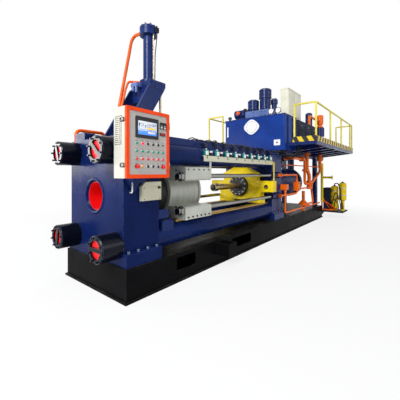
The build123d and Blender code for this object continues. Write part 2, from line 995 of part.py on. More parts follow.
def main_cylinder():
    bore = ram_radius + ram_clearance
    cap_back = cylinder_back + cylinder_cap_length
    gland_front = rear_face - gland_length
    body = turned_x(
        [
            (gland_front, bore), (gland_front, gland_radius), (rear_face, gland_radius),
            (rear_face, main_cylinder_radius), (cylinder_back, main_cylinder_radius),
            (cylinder_back, cylinder_cap_radius), (cap_back - cylinder_cap_edge, cylinder_cap_radius),
            (cap_back, cylinder_cap_radius - cylinder_cap_edge), (cap_back, 0),
            (cylinder_back - main_cylinder_end, 0), (cylinder_back - main_cylinder_end, bore),
        ]
    )
    save("main_cylinder", body)
    valve_back = cap_back + prefill_length
    flange = prefill_radius + prefill_flange_lip
    flange_back = cap_back + prefill_flange_length
    valve = turned_x(
        [
            (cap_back, 0), (cap_back, flange), (flange_back, flange), (flange_back, prefill_radius),
            (valve_back - prefill_nose, prefill_radius), (valve_back, prefill_radius - prefill_nose_step),
            (valve_back, 0),
        ]
    )
    riser_x = (cap_back + valve_back) / 2 + 10
    valve += rod_z(press_axis_height, platen_top + floor_rise, suction_radius, riser_x, 0)
    save("prefill_valve", valve)


def shift_cylinders():
    cylinders = []
    inner = shift_rod_radius + running_gap
    front = rear_face - shift_barrel_front
    back = rear_face + shift_barrel_length
    for y, z in rod_points:
        cylinders.append(
            turned_x(
                [
                    (front, inner), (front, shift_gland_radius),
                    (front + shift_gland_length, shift_gland_radius),
                    (front + shift_gland_length, shift_barrel_radius),
                    (back - shift_gland_length, shift_barrel_radius),
                    (back - shift_gland_length, shift_gland_radius), (back, shift_gland_radius), (back, 0),
                    (back - shift_gland_length / 2, 0), (back - shift_gland_length / 2, inner),
                ],
                y, z,
            )
        )
    save("shift_cylinders", *cylinders)


# Die shear

shear_x = front_face + shear_axis_station
head_low = platen_top + shear_head_rise
head_top = head_low + shear_head_thickness
barrel_low = head_top + shear_foot_length
barrel_top = barrel_low + shear_barrel_length
guide_x = shear_x + slide_guide_offset
slide_low = platen_top + slide_bottom_rise
slide_top = slide_low + slide_height


def shear_frame():
    base = front_face
    outline = [
        (base + shear_foot_front, platen_top), (base + shear_head_front, head_low - 60),
        (base + shear_head_front + 110, head_top), (base + shear_head_back, head_top),
        (base + shear_head_back, head_low - 20),
        (base + shear_throat_station, platen_top + shear_throat_rise),
        (base + shear_elbow_station, platen_top + shear_elbow_rise), (base + shear_foot_rear, platen_top),
    ]
    inner = shear_plate_y - shear_plate_thickness / 2
    outer = shear_plate_y + shear_plate_thickness / 2
    near = slab_y(outline, -outer, -inner)
    plate_front = base + shear_head_front + shear_head_thickness
    head = block(plate_front, base + shear_head_back, -inner, inner, head_low, head_top)
    head += block(
        plate_front, plate_front + shear_web_thickness, -inner, inner, head_low - shear_web_drop, head_low,
    )
    bore = shear_rod_radius + shear_rod_clearance
    head -= rod_z(head_low - 5, head_top + 5, bore, shear_x, 0)
    for y in (-slide_guide_y, slide_guide_y):
        head -= rod_z(head_low - 5, head_top + 5, slide_guide_radius, guide_x, y)
    tie = block(
        base + shear_foot_front + 90, base + shear_foot_rear - 40, -inner, inner,
        platen_top, platen_top + shear_plate_thickness,
    )
    save("shear_frame", near + other_side(near) + head + tie)


def shear_cylinder():
    bore = shear_rod_radius + shear_rod_clearance
    foot_top = shear_foot_length
    top = foot_top + shear_barrel_length
    mid = top + shear_cap_height / 2
    end = top + shear_cap_height
    body = turned_z(
        [
            (bore, 0), (shear_foot_radius, 0), (shear_foot_radius, foot_top),
            (shear_barrel_radius, foot_top), (shear_barrel_radius, top), (shear_cap_radius, top),
            (shear_cap_radius, mid), (shear_cap_radius - shear_cap_groove, mid),
            (shear_cap_radius - shear_cap_groove, mid + shear_cap_groove),
            (shear_cap_radius, mid + shear_cap_groove), (shear_cap_radius, end - 15),
            (shear_cap_radius - 15, end), (0, end), (0, top), (bore, top),
        ],
        shear_x, 0, head_top,
    )
    save("shear_cylinder", body)


def shear_guide_rods():
    rods = []
    for y in (-shear_tie_y, shear_tie_y):
        rods.append(rod_z(barrel_low, barrel_top, shear_tie_radius, shear_x, y))
    for y in (-slide_guide_y, slide_guide_y):
        rods.append(rod_z(platen_top + slide_guide_low, head_top, slide_guide_radius, guide_x, y))
    save("shear_guide_rods", *rods)


def shear_slide():
    x0 = die_face + blade_gap
    x1 = shear_x - slide_thickness / 2
    x2 = shear_x + slide_thickness / 2
    half_blade = blade_width / 2
    blade_low = press_axis_height + blade_rise
    blade = block(x0, x0 + blade_thickness, -half_blade, half_blade, blade_low, slide_top)
    blade = chamfer(blade.edges().filter_by(Axis.Y).group_by(Axis.Z)[0].sort_by(Axis.X)[-1], blade_bevel)
    holder = block(x0, x2, -slide_half_width, slide_half_width, slide_low, slide_top)
    holder -= block(
        x0 + blade_thickness, x1, -slide_half_width - 5, slide_half_width + 5,
        slide_low - 5, slide_top - slide_web,
    )
    for y in (-slide_guide_y, slide_guide_y):
        holder += block(x2, guide_x, y - slide_bush_radius, y + slide_bush_radius, slide_low, slide_top)
        holder += rod_z(slide_low, slide_top, slide_bush_radius, guide_x, y)
        holder -= rod_z(slide_low - 5, slide_top + 5, slide_guide_radius + running_gap, guide_x, y)
    rod = rod_z(slide_top, barrel_low + shear_rod_inside, shear_rod_radius, shear_x, 0)
    save("shear_slide", blade + holder + rod)


# Operator's cabinet, its door, panel and buttons

door_back = cabinet_front - door_gap
door_front = door_back - door_thickness
panel_face = door_front + door_frame_lip
cabinet_end = cabinet_x + cabinet_width
hinge_x = cabinet_end + hinge_offset
hinge_y = door_back - hinge_radius
hinge_levels = (cabinet_bottom + hinge_inset, cabinet_top - hinge_inset)


def operator_cabinet():
    box = block(cabinet_x, cabinet_end, cabinet_front, cabinet_back, cabinet_bottom, cabinet_top)
    box = fillet(box.edges().filter_by(Axis.Z), cabinet_corner)
    box -= block(
        cabinet_x + cabinet_wall, cabinet_end - cabinet_wall, cabinet_front - 5, cabinet_back - cabinet_wall,
        cabinet_bottom + cabinet_wall, cabinet_top - cabinet_wall,
    )
    for z in hinge_levels:
        leaf = block(cabinet_end - 2, cabinet_end + 4, hinge_y, cabinet_front + 45, z, z + hinge_length / 2)
        leaf += block(
            cabinet_end + 2, hinge_x, hinge_y - hinge_radius / 2, hinge_y + hinge_radius / 2,
            z, z + hinge_length / 2,
        )
        leaf -= block(
            cabinet_end - 5, cabinet_end + 2, door_front, cabinet_front, z - 5, z + hinge_length,
        )
        box += leaf
        box += rod_z(z, z + hinge_length / 2, hinge_radius, hinge_x, hinge_y)
        box += rod_z(z - hinge_length / 2, z, hinge_pin_radius, hinge_x, hinge_y)
    for z in hinge_levels:
        box += block(
            cabinet_x - latch_depth / 2, cabinet_x, cabinet_front + 6, cabinet_front + 6 + latch_width,
            z - latch_height / 2, z + latch_height / 2,
        )
        box += rod_x(
            cabinet_x - latch_depth, cabinet_x - latch_depth / 2, latch_height / 2, cabinet_front + 30, z,
        )
    save("operator_cabinet", box)


def cabinet_door():
    lip = door_frame_width
    door = block(cabinet_x, cabinet_end, door_front, door_back, cabinet_bottom, cabinet_top)
    door = fillet(door.edges().filter_by(Axis.Y), cabinet_corner)
    door -= block(
        cabinet_x + lip, cabinet_end - lip, door_front - 5, panel_face,
        cabinet_bottom + lip, cabinet_top - lip,
    )
    for z in hinge_levels:
        low = z - hinge_length / 2
        door += block(
            cabinet_end - 2, hinge_x, hinge_y - hinge_radius / 2, hinge_y + hinge_radius / 2, low, z - 0.5,
        )
        door += rod_z(low, z - 0.5, hinge_radius, hinge_x, hinge_y)
        door -= rod_z(low - 5, z + 5, hinge_pin_radius + hinge_clearance, hinge_x, hinge_y)
    save("cabinet_door", door)


def panel_button(row_drop, column):
    x = cabinet_x + button_first + column * button_pitch
    return rod_y(panel_face - button_length, panel_face, button_radius, x, cabinet_top - row_drop)


def control_panel():
    sx = cabinet_x + screen_left
    sz = cabinet_top - screen_drop
    screen = block(sx, sx + screen_width, panel_face - screen_thickness, panel_face, sz - screen_height, sz)
    screen = fillet(screen.edges().filter_by(Axis.Y), cabinet_corner)
    mx = cabinet_x + meter_left
    mz = cabinet_top - meter_drop
    dz = cabinet_top - display_drop
    meters = [
        block(mx, mx + meter_width * 0.45, panel_face - 12, panel_face, mz - meter_height, mz),
        block(mx + meter_width * 0.55, mx + meter_width, panel_face - 12, panel_face, mz - meter_height, mz),
        block(mx, mx + meter_width * 0.85, panel_face - 12, panel_face, dz - display_height, dz),
    ]
    save("control_panel", screen, *meters)
    buttons = [panel_button(drop, column) for drop in button_drops for column in range(button_columns)]
    buttons += [panel_button(stop_row_drop, column) for column in range(1, button_columns - 1)]
    for column in (0, button_columns - 1):
        x = cabinet_x + button_first + column * button_pitch
        z = cabinet_top - stop_row_drop
        collar = rod_y(panel_face - stop_collar_length, panel_face, stop_collar_radius, x, z)
        collar -= rod_y(
            panel_face - stop_collar_length - 5, panel_face + 5, stop_stem_radius + stop_stem_clearance, x, z,
        )
        buttons.append(collar)
    save("panel_buttons", *buttons)


def stop_buttons():
    for name, column in (("stop_button_left", 0), ("stop_button_right", button_columns - 1)):
        x = cabinet_x + button_first + column * button_pitch
        z = cabinet_top - stop_row_drop
        head_back = panel_face - stop_collar_length - stop_travel - 1
        head = rod_y(head_back - stop_head_length, head_back, stop_head_radius, x, z)
        head = fillet(head.edges().sort_by(Axis.Y)[0], stop_head_length / 2)
        save(name, head + rod_y(head_back, panel_face - stop_travel - 1, stop_stem_radius, x, z))


# Side box, sensor duct, rail and switches


def side_box():
    x0 = front_face + side_box_station
    x1 = x0 + side_box_length
    low = press_axis_height - side_box_drop
    high = low + side_box_height
    outline = [(x0, low), (x1, low), (x1, high), (x0 + side_box_bevel, high), (x0, high - side_box_bevel)]
    box = slab_y(outline, -half_platen - side_box_depth, -half_platen)
    knob = rod_y(
        -half_platen - side_box_depth - 25, -half_platen - side_box_depth, 16, x1 - 48, high - 76,
    )
    save("side_box", box + knob)


def sensor_duct():
    low = upper_tie + sleeve_flat
    duct = block(
        platen_rear, rear_face, -tie_y - duct_width / 2, -tie_y + duct_width / 2, low, low + duct_height,
    )
    save("sensor_duct", duct)


def sensor_rail():
    x0 = front_face + rail_station
    x1 = x0 + rail_length
    lip = block(x0, x1, -rail_face, -rail_face + rail_plate, rail_bottom, rail_top)
    shelf = block(x0, x1, -rail_face, -tie_y - sleeve_radius + 4, rail_top - rail_plate, rail_top)
    rail = lip + shelf
    pitch = (rail_length - 2 * rail_bracket_inset - rail_bracket_width) / (rail_bracket_count - 1)
    for part in range(rail_bracket_count):
        x = x0 + rail_bracket_inset + part * pitch
        rail += block(
            x, x + rail_bracket_width, -rail_face, -tie_y - sleeve_radius + 30,
            rail_top - rail_bracket_width, rail_top,
        )
    rail -= rod_x(x0 - 5, x1 + 5, sleeve_radius, -tie_y, upper_tie)
    save("sensor_rail", rail)
    switches = []
    pitch = (rail_length - 2 * rail_first_switch) / (switch_count - 1)
    for number in range(switch_count):
        x = x0 + rail_first_switch + number * pitch
        body = block(
            x - switch_width / 2, x + switch_width / 2, -rail_face, -rail_face + switch_depth,
            rail_top, rail_top + switch_height,
        )
        switches.append(fillet(top_edges(body, Axis.Y), switch_depth / 3))
    save("limit_switches", *switches)


# Oil tank and what stands on it


def tank():
    shell = block(tank_front, tank_back, -tank_half, tank_half, tank_bottom, tank_top)
    shell = fillet(shell.edges().filter_by(Axis.Z), tank_edge_radius)
    inside = block(
        tank_front + tank_wall, tank_back - tank_wall, -tank_half + tank_wall, tank_half - tank_wall,
        tank_bottom + tank_wall, tank_top + 5,
    )
    shell -= fillet(inside.edges().filter_by(Axis.Z), tank_edge_radius - tank_wall)
    for share in (0.25, 0.65):
        x = tank_front + share * tank_length
        rib = block(
            x, x + tank_rib_width, -tank_half - tank_rib_depth, -tank_half + 1, tank_bottom, tank_top - 20,
        )
        shell += rib
        shell += other_side(rib)
    save("tank_shell", shell)
    lid = block(
        tank_front - lid_lip, tank_back + lid_lip, -tank_half - lid_lip, tank_half + lid_lip,
        tank_top, lid_top,
    )
    save("tank_lid", fillet(lid.edges().filter_by(Axis.Z), tank_edge_radius))


manifold_front = tank_front + manifold_setback
manifold_top = lid_top + manifold_height


def valve_manifold():
    x0 = manifold_front
    manifold = block(x0, x0 + manifold_length, -manifold_near, manifold_far, lid_top, manifold_top)
    manifold = chamfer(top_edges(manifold, Axis.Y), manifold_height / 8)
    save("valve_manifold", manifold)
    x = x0 + manifold_length / 2 - tank_pump_shift
    y = manifold_far + tank_pump_gap
    z = lid_top + tank_pump_rise
    pump = rod_y(y, y + tank_pump_length, tank_pump_radius, x, z)
    pump += rod_y(y, y + tank_pump_flange, tank_pump_radius * 1.2, x, z)
    pump += rod_x(x - tank_pump_radius * 1.5, x, 42, y + tank_pump_length * 0.45, z)
    pump += block(x - 60, x + 60, y + tank_pump_flange, y + tank_pump_length - 20, lid_top, z)
    save("tank_pump", pump)


def tank_valves():
    x = manifold_front + manifold_length / 2
    wide = big_valve_radius
    neck = wide - valve_step
    big = turned_z(
        [
            (0, 0), (neck, 0), (neck, big_valve_neck), (wide, big_valve_neck),
            (wide, big_valve_height - valve_step),
            (neck, big_valve_height), (0, big_valve_height),
        ],
        x + big_valve_shift, -big_valve_near, manifold_top,
    )
    wide = left_valve_radius
    neck = wide - valve_step
    left = turned_z(
        [
            (0, 0), (neck, 0), (neck, left_valve_neck), (wide, left_valve_neck),
            (wide, left_valve_height - valve_step), (neck, left_valve_height), (0, left_valve_height),
        ],
        x - left_valve_shift, left_valve_far, manifold_top,
    )
    wide = right_valve_radius
    neck = wide - valve_step
    right = turned_z(
        [
            (0, 0), (neck, 0), (neck, right_valve_neck), (wide, right_valve_neck),
            (wide, right_valve_height - valve_step), (neck, right_valve_height), (0, right_valve_height),
        ],
        manifold_front + manifold_length + neck + right_valve_gap, -right_valve_near, lid_top,
    )
    save("tank_valves", big, left, right)


# Platform: frame, deck, toe boards and railings


def platform_frame():
    low = platen_top
    high = tank_bottom
    half_beam = frame_beam_width / 2
    frame = block(
        rear_face, platform_back, -frame_beam_y - half_beam, -frame_beam_y + half_beam, low, high,
    )
    column = base_half - column_inset
    half_column = column_width / 2
    frame += block(
        column, column + column_length, -frame_beam_y - half_column, -frame_beam_y + half_column,
        base_height, low,
    )
    frame += other_side(frame)
    reach = platform_half_width - edge_channel_web
    top = deck_level - deck_plate
    tip = top - edge_channel_height
    inner = frame_beam_y + half_beam
    outline = [(-reach, top), (reach, top), (reach, tip), (inner, high), (-inner, high), (-reach, tip)]
    for x0 in bearer_starts:
        frame += slab_x(outline, x0, x0 + bearer_width)
    save("platform_frame", frame)


def walkway_deck():
    half = platform_half_width
    low = deck_level - deck_plate
    web = edge_channel_web
    bottom = low - edge_channel_height
    walkway_end = bearer_starts[0] + bearer_width
    near = block(platform_front, walkway_end, -half, -walkway_inner, low, deck_level)
    near += block(walkway_end, platform_back, -half, 0, low, deck_level)
    edge = block(platform_front, platform_back, -half, -half + web, bottom, low)
    edge += block(platform_front, platform_front + web, -half, -walkway_inner, bottom, low)
    edge += block(platform_back - web, platform_back, -half, -walkway_inner, bottom, low)
    edge += block(platform_front, platform_back, -half, -half + edge_channel_flange, bottom, bottom + web)
    for x0 in bearer_starts:
        edge -= block(x0, x0 + bearer_width, -half + web, -walkway_inner, bottom, low)
    near += edge
    save("walkway_deck", near, other_side(near))


def toe_boards():
    half = platform_half_width
    top = deck_level + toe_height
    board = block(platform_front, platform_back, -half, -half + toe_thickness, deck_level, top)
    board += block(platform_front, platform_front + toe_thickness, -half, -board_inner, deck_level, top)
    board += block(platform_back - toe_thickness, platform_back, -half, -board_inner, deck_level, top)
    save("toe_boards", board, other_side(board))


def railings():
    """Handrails round the walkways, near and far."""
    x0 = platform_front + railing_inset
    x1 = platform_back - railing_inset
    y0 = -platform_half_width + railing_inset
    y1 = -board_inner - railing_inset
    top = deck_level + railing_height
    posts = [(x0, y1), (x0, y0), (x1, y0), (x1, y1)]
    spans = int((x1 - x0) / railing_pitch)
    posts += [(x0 + number * railing_pitch, y0) for number in range(1, spans + 1)]
    rail = pipe([(x0, y1, top), (x0, y0, top), (x1, y0, top), (x1, y1, top)], rail_tube, 3 * rail_tube)
    for x, y in posts:
        rail += rod_z(deck_level, top, rail_tube, x, y)
    save("railings", rail, other_side(rail))


# Pump enclosure, deck pumps and electrical cabinet

enclosure_x = tank_back + enclosure_gap
enclosure_back = enclosure_x + enclosure_length


def pump_enclosure():
    body = block(
        enclosure_x, enclosure_back, -enclosure_front, -enclosure_front + enclosure_depth,
        deck_level, deck_level + enclosure_height,
    )
    save("pump_enclosure", chamfer(top_edges(body, Axis.Y), enclosure_edge))


riser_x = base_half - riser_inset
riser_y = -riser_near
motor_x = enclosure_back + 2 * deck_motor_radius
motor_y = -deck_motor_near


def deck_pumps():
    wide = deck_motor_radius
    neck = wide - deck_motor_step
    motor = turned_z(
        [
            (0, 0), (wide, 0), (wide, deck_motor_flange), (neck, deck_motor_flange),
            (neck, deck_motor_height * 0.55), (wide, deck_motor_height * 0.55),
            (wide, deck_motor_height - deck_motor_step), (neck, deck_motor_height), (0, deck_motor_height),
        ],
        motor_x, motor_y, deck_level,
    )
    wide = deck_pump_radius
    neck = wide - deck_pump_step
    pump = turned_z(
        [
            (0, 0), (wide, 0), (wide, deck_pump_flange), (neck, deck_pump_flange),
            (neck, deck_pump_height * 0.62), (wide, deck_pump_height * 0.62),
            (wide, deck_pump_height - deck_pump_edge), (wide - deck_pump_edge, deck_pump_height),
            (0, deck_pump_height),
        ],
        riser_x, riser_y, deck_level,
    )
    save("deck_pumps", motor, pump)


def electrical_cabinet():
    x1 = base_half - electrical_inset
    half = electrical_depth / 2
    y = -electrical_shift
    body = block(x1 - electrical_length, x1, y - half, y + half, deck_level, deck_level + electrical_height)
    save("electrical_cabinet", fillet(body.edges().filter_by(Axis.Z), half / 12))


# Oil pipes along the near side, under the platform and on the shear

under_deck = deck_level - deck_plate
middle_x = rear_face + middle_block_setback
junction_x = rear_face + junction_setback
port_x = rear_face + shift_barrel_length - port_block_inset
shift_top = press_axis_height + shift_rod_z
shift_low = press_axis_height - shift_rod_z
hub_z = press_axis_height - junction_drop
shelf_top = shelf_height + shelf_thickness
cooler_x = base_half + cooler_setback
filter_x = cooler_x + cooler_length / 2
filter_y = -side_half - cooler_width - filter_radius - filter_gap
drop_x = base_half + drop_pipe_setback
drop_end = shelf_top + drop_pipe_foot


half_middle = middle_block_height / 2


def side_valve_blocks():
    y = -pipe_plane
    ports = []
    near = -shift_rod_y - shift_barrel_radius
    half = port_block_length / 2
    half_port = port_block_height / 2
    for z in (shift_top, shift_low):
        ports.append(
            block(port_x - half, port_x + half, y - port_block_depth, near + 6, z - half_port, z + half_port)
        )
    half = middle_block_length / 2
    middle = block(
        middle_x - half, middle_x + half, y - middle_block_near, y + middle_block_far,
        hub_z - half_middle, hub_z + half_middle,
    )
    middle = fillet(middle.edges().filter_by(Axis.Z), middle_block_corner)
    hub = rod_z(hub_z - junction_height / 2, hub_z + junction_height / 2, junction_radius, junction_x, y)
    half = platen_block_length / 2
    platen_block = block(
        rear_back - half, rear_back + half, y - platen_block_near, -half_platen,
        hub_z - platen_block_drop, hub_z + platen_block_rise,
    )
    save(
        "side_valve_blocks",
        ports[0] - rod_x(port_x - 60, port_x + 60, shift_barrel_radius, -shift_rod_y, shift_top),
        ports[1] - rod_x(port_x - 60, port_x + 60, shift_barrel_radius, -shift_rod_y, shift_low),
        middle, hub, platen_block,
    )


def side_pipes():
    y = -pipe_plane
    r = side_pipe_radius
    bend = 2.5 * r
    x = port_x + port_block_length / 2
    upper = pipe(
        [(x, y, shift_top), (middle_x, y, shift_top), (middle_x, y, hub_z + half_middle)], r, bend,
    )
    lower = pipe(
        [(x, y, shift_low), (middle_x, y, shift_low), (middle_x, y, hub_z - half_middle)], r, bend,
    )
    level = base_height + drain_rise
    drain = pipe(
        [
            (rear_back, y, hub_z - platen_block_drop), (rear_back, y, level),
            (base_half - drain_end_inset, y, level),
        ],
        r, bend,
    )
    start = middle_x + middle_block_length / 2
    low = hub_z - link_drop
    link = pipe([(start, y, low), (junction_x - junction_radius, y, low)], r, bend)
    return [upper, lower, drain, link]


def main_pipes():
    y = -pipe_plane
    r = middle_pipe_radius
    bend = 3 * r
    arch_x = junction_x - arch_back_inset
    foot_x = rear_back + arch_foot_setback
    foot_y = -main_cylinder_radius * 0.6
    level = platen_top - arch_drop
    entry = hub_z + r
    arch = pipe(
        [
            (foot_x, foot_y, press_axis_height + arch_foot_rise), (foot_x, foot_y, level - arch_foot_step),
            (foot_x + arch_foot_run, y, level), (arch_x, y, level), (arch_x, y, entry),
            (junction_x - junction_radius, y, entry),
        ],
        r, bend,
    )
    arch -= rod_x(rear_back, cylinder_back, main_cylinder_radius)
    thick_x = junction_x - thick_pipe_inset
    thick = pipe(
        [
            (thick_x, y, under_deck), (thick_x, y, hub_z + thick_pipe_rise),
            (junction_x, y, hub_z + thick_pipe_low_rise), (junction_x, y, hub_z + junction_height / 2),
        ],
        thick_pipe_radius, 2 * thick_pipe_radius,
    )
    bowl_x = junction_x - bowl_inset
    bowl_y = -side_half + bowl_wall_gap
    bowl_z = base_height + bowl_rise
    bowl = turned_z(
        [
            (0, 0), (bowl_radius, 0), (bowl_radius, bowl_rim), (bowl_shoulder, bowl_shoulder_height),
            (bowl_neck_radius, bowl_neck_height), (bowl_pipe_radius, bowl_neck_height),
            (bowl_pipe_radius, bowl_height), (0, bowl_height),
        ],
        bowl_x, bowl_y, bowl_z,
    )
    bowl += rod_z(base_height, bowl_z + 5, bowl_post_radius, bowl_x, bowl_y)
    low = bowl_z + bowl_pipe_rise
    outlet = hub_z - platen_block_drop
    bowl += pipe(
        [
            (junction_x + junction_radius, y, outlet), (junction_x + bowl_pipe_bend, y, outlet),
            (junction_x + bowl_pipe_back, y, low), (junction_x - bowl_pipe_front, y, low),
        ],
        side_pipe_radius * 1.3, 3 * side_pipe_radius,
    )
    return [arch, thick, bowl]


def riser_pipes():
    """The near pump's riser and its run to the junction."""
    y = -pipe_plane
    low = under_deck - riser_height
    run_z = hub_z + riser_run_rise
    riser = turned_z(
        [
            (0, 0), (thick_pipe_radius, 0), (thick_pipe_radius, riser_collar_low),
            (riser_collar_radius, riser_collar_low), (riser_collar_radius, riser_collar_high),
            (riser_body_radius, riser_collar_high), (riser_body_radius, riser_height), (0, riser_height),
        ],
        riser_x, riser_y, low,
    )
    riser += pipe(
        [
            (riser_x, riser_y, low), (riser_x, riser_y, low - riser_foot_drop),
            (junction_x + riser_run_start, y, run_z), (junction_x + junction_radius, y, run_z),
        ],
        thick_pipe_radius * 0.8, 2 * thick_pipe_radius,
    )
    thin_z = press_axis_height + thin_pipe_rise
    thin_low = thin_z - thin_pipe_step
    y1 = -thin_pipe_front_y
    y2 = -thin_pipe_back_y
    bend_x = rear_back + thin_pipe_first_run
    riser += pipe(
        [
            (rear_back, y1, thin_low), (bend_x, y1, thin_low), (bend_x + thin_pipe_crossing, y2, thin_z),
            (riser_x - thin_pipe_end_run, y2, thin_z), (riser_x - thin_pipe_end_gap, riser_y, thin_z),
        ],
        thin_pipe_radius, 5 * thin_pipe_radius,
    )
    return riser


def rear_drop_pipe():
    """Yellow pipe from the riser down behind the base, with a flanged stub."""
    low = under_deck - riser_height
    top = low + drop_elbow_rise
    drop = rod_z(drop_end, top + drop_pipe_overlap, drop_pipe_radius, drop_x, riser_y)
    drop += rod_x(riser_x, drop_x, stub_pipe_radius, riser_y, top)
    stub_z = press_axis_height + drop_stub_rise
    end = riser_y - drop_stub_length
    flange = end + drop_flange_thickness
    drop += rod_y(flange, riser_y, stub_pipe_radius, drop_x, stub_z)
    drop += rod_y(end, flange, 2 * stub_pipe_radius, drop_x, stub_z)
    drop -= rod_z(low, low + riser_collar_low, thick_pipe_radius, riser_x, riser_y)
    save("rear_drop_pipe", drop)


def rear_hose():
    low = shelf_top + side_pipe_radius * 1.2 + 2
    hose = pipe(
        [
            (drop_x, riser_y, drop_end), (drop_x, riser_y, low), (drop_x, filter_y, low),
            (filter_x - filter_radius / 2, filter_y, low),
        ],
        side_pipe_radius * 1.2, 3 * side_pipe_radius,
    )
    return hose - rod_z(shelf_top, shelf_top + 60, filter_radius * 0.7, filter_x, filter_y)


def deck_pipes():
    """Orange valve on the near pump and the elbow from the pump enclosure to it."""
    top = deck_level + deck_pump_height
    body = deck_valve_radius
    neck = body * 0.65
    valve = turned_z(
        [
            (0, 0), (body, 0), (body, deck_valve_foot), (neck, deck_valve_foot),
            (neck, deck_valve_neck_top), (body, deck_valve_neck_top),
            (body, deck_valve_height - deck_valve_edge), (body - deck_valve_edge, deck_valve_height),
            (0, deck_valve_height),
        ],
        riser_x, riser_y, top,
    )
    elbow_x = enclosure_back - elbow_inset
    z = top + deck_valve_height / 2
    low = deck_level + enclosure_height
    valve += pipe(
        [(elbow_x, riser_y, low), (elbow_x, riser_y, z), (riser_x - neck, riser_y, z)],
        middle_pipe_radius, 2 * middle_pipe_radius,
    )
    return valve


def oil_pipes():
    save("side_oil_pipes", *side_pipes(), rear_hose())
    save("main_oil_pipes", *main_pipes(), riser_pipes(), deck_pipes())


def shear_oil_pipes():
    r = shear_pipe_radius
    cap_z = barrel_top + shear_cap_height / 3
    x = shear_x - shear_cap_radius * 0.6
    y = shear_plate_y + shear_plate_thickness / 2 + 2 * r
    lean = shear_pipe_lean * (cap_z - platen_top)
    main = pipe(
        [(x, shear_cap_radius * 0.68, cap_z), (x - 10, y, cap_z), (x - 10 - lean, y, platen_top - r)],
        r, 4 * r,
    )
    main -= rod_z(barrel_top, barrel_top + shear_cap_height, shear_cap_radius, shear_x, 0)
    main -= block(front_face, platen_rear, y - 2 * r, y + 2 * r, platen_top - 3 * r, platen_top)
    inner = shear_plate_y - shear_plate_thickness / 2 - r
    foot_x = front_face + shear_foot_pipe_station
    foot_z = head_top + shear_foot_length / 2
    second = pipe(
        [
            (shear_x - shear_entry_reach, shear_entry_far, foot_z),
            (front_face + shear_entry_station, inner, foot_z),
            (front_face + shear_shoulder_station, inner, head_low - shear_shoulder_drop),
            (front_face + shear_bend_station, inner, platen_top + shear_bend_rise),
            (foot_x, inner, platen_top + shear_foot_pipe_top),
            (foot_x, inner, platen_top + shear_plate_thickness),
        ],
        r * 0.7, 2 * r,
    )
    second -= rod_z(head_top, barrel_low, shear_foot_radius, shear_x, 0)
    x0 = front_face + far_pipe_front
    x1 = front_face + far_pipe_back
    y = top_block_outer + far_pipe_gap
    z = platen_top + top_block_height + far_pipe_rise
    far = pipe(
        [(x0, y, platen_top), (x0, y, z), (x1, y, z), (x1, y, platen_top)],
        r, 3 * r,
    )
    save("shear_oil_pipes", main, second, far)


# Rear pump unit on its shelf behind the base


def rear_unit():
    x0 = base_half
    shelf = block(x0, x0 + shelf_length, -shelf_near, -shelf_far, shelf_height, shelf_top)
    near = -side_half + shelf_back_inset
    back = block(
        x0, x0 + shelf_thickness / 2, near, -shelf_far, wall_bottom + shelf_back_low, shelf_height,
    )
    brace = slab_y(
        [
            (x0, shelf_height), (x0 + shelf_length * 0.7, shelf_height),
            (x0, wall_bottom + shelf_brace_low),
        ],
        near, near + shelf_brace_thickness,
    )
    cooler = block(
        cooler_x, cooler_x + cooler_length, -side_half - cooler_width, -side_half, shelf_top,
        shelf_top + cooler_height,
    )
    save("rear_cooler", shelf + back + brace + cooler)
    y1 = filter_y
    y2 = y1 - 2 * filter_radius - 20
    r = filter_radius
    tall = turned_z(
        [
            (0, 0), (r * 0.7, 0), (r * 0.7, 60), (r, 90), (r, filter_height - 40), (r - 25, filter_height),
            (0, filter_height),
        ],
        filter_x, y1, shelf_top,
    )
    short = turned_z(
        [
            (0, 0), (r * 0.5, 0), (r * 0.5, filter_height * 0.4), (r, filter_height * 0.45),
            (r, filter_height * 1.08), (r - 30, filter_height * 1.14), (0, filter_height * 1.14),
        ],
        filter_x, y2, shelf_top,
    )
    save("rear_filters", tall, short)


base_plates()
base_side_walls()
base_cross_walls()
front_platen()
exit_throat()
die_holder()
tie_rod_nuts()
tie_rods()
compression_sleeves()
guide_ways()
container_housing()
container_lugs()
shift_rods()
container_pointer()
crosshead()
stem()
main_ram()
rear_platen()
main_cylinder()
shift_cylinders()
shear_frame()
shear_cylinder()
shear_guide_rods()
shear_slide()
operator_cabinet()
cabinet_door()
control_panel()
stop_buttons()
side_box()
sensor_duct()
sensor_rail()
tank()
valve_manifold()
tank_valves()
platform_frame()
walkway_deck()
toe_boards()
railings()
pump_enclosure()
deck_pumps()
electrical_cabinet()
side_valve_blocks()
oil_pipes()
rear_drop_pipe()
shear_oil_pipes()
rear_unit()
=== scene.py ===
import json
from math import cos, pi, radians, sin, tan

import bmesh
import bpy
from mathutils import Matrix, Vector


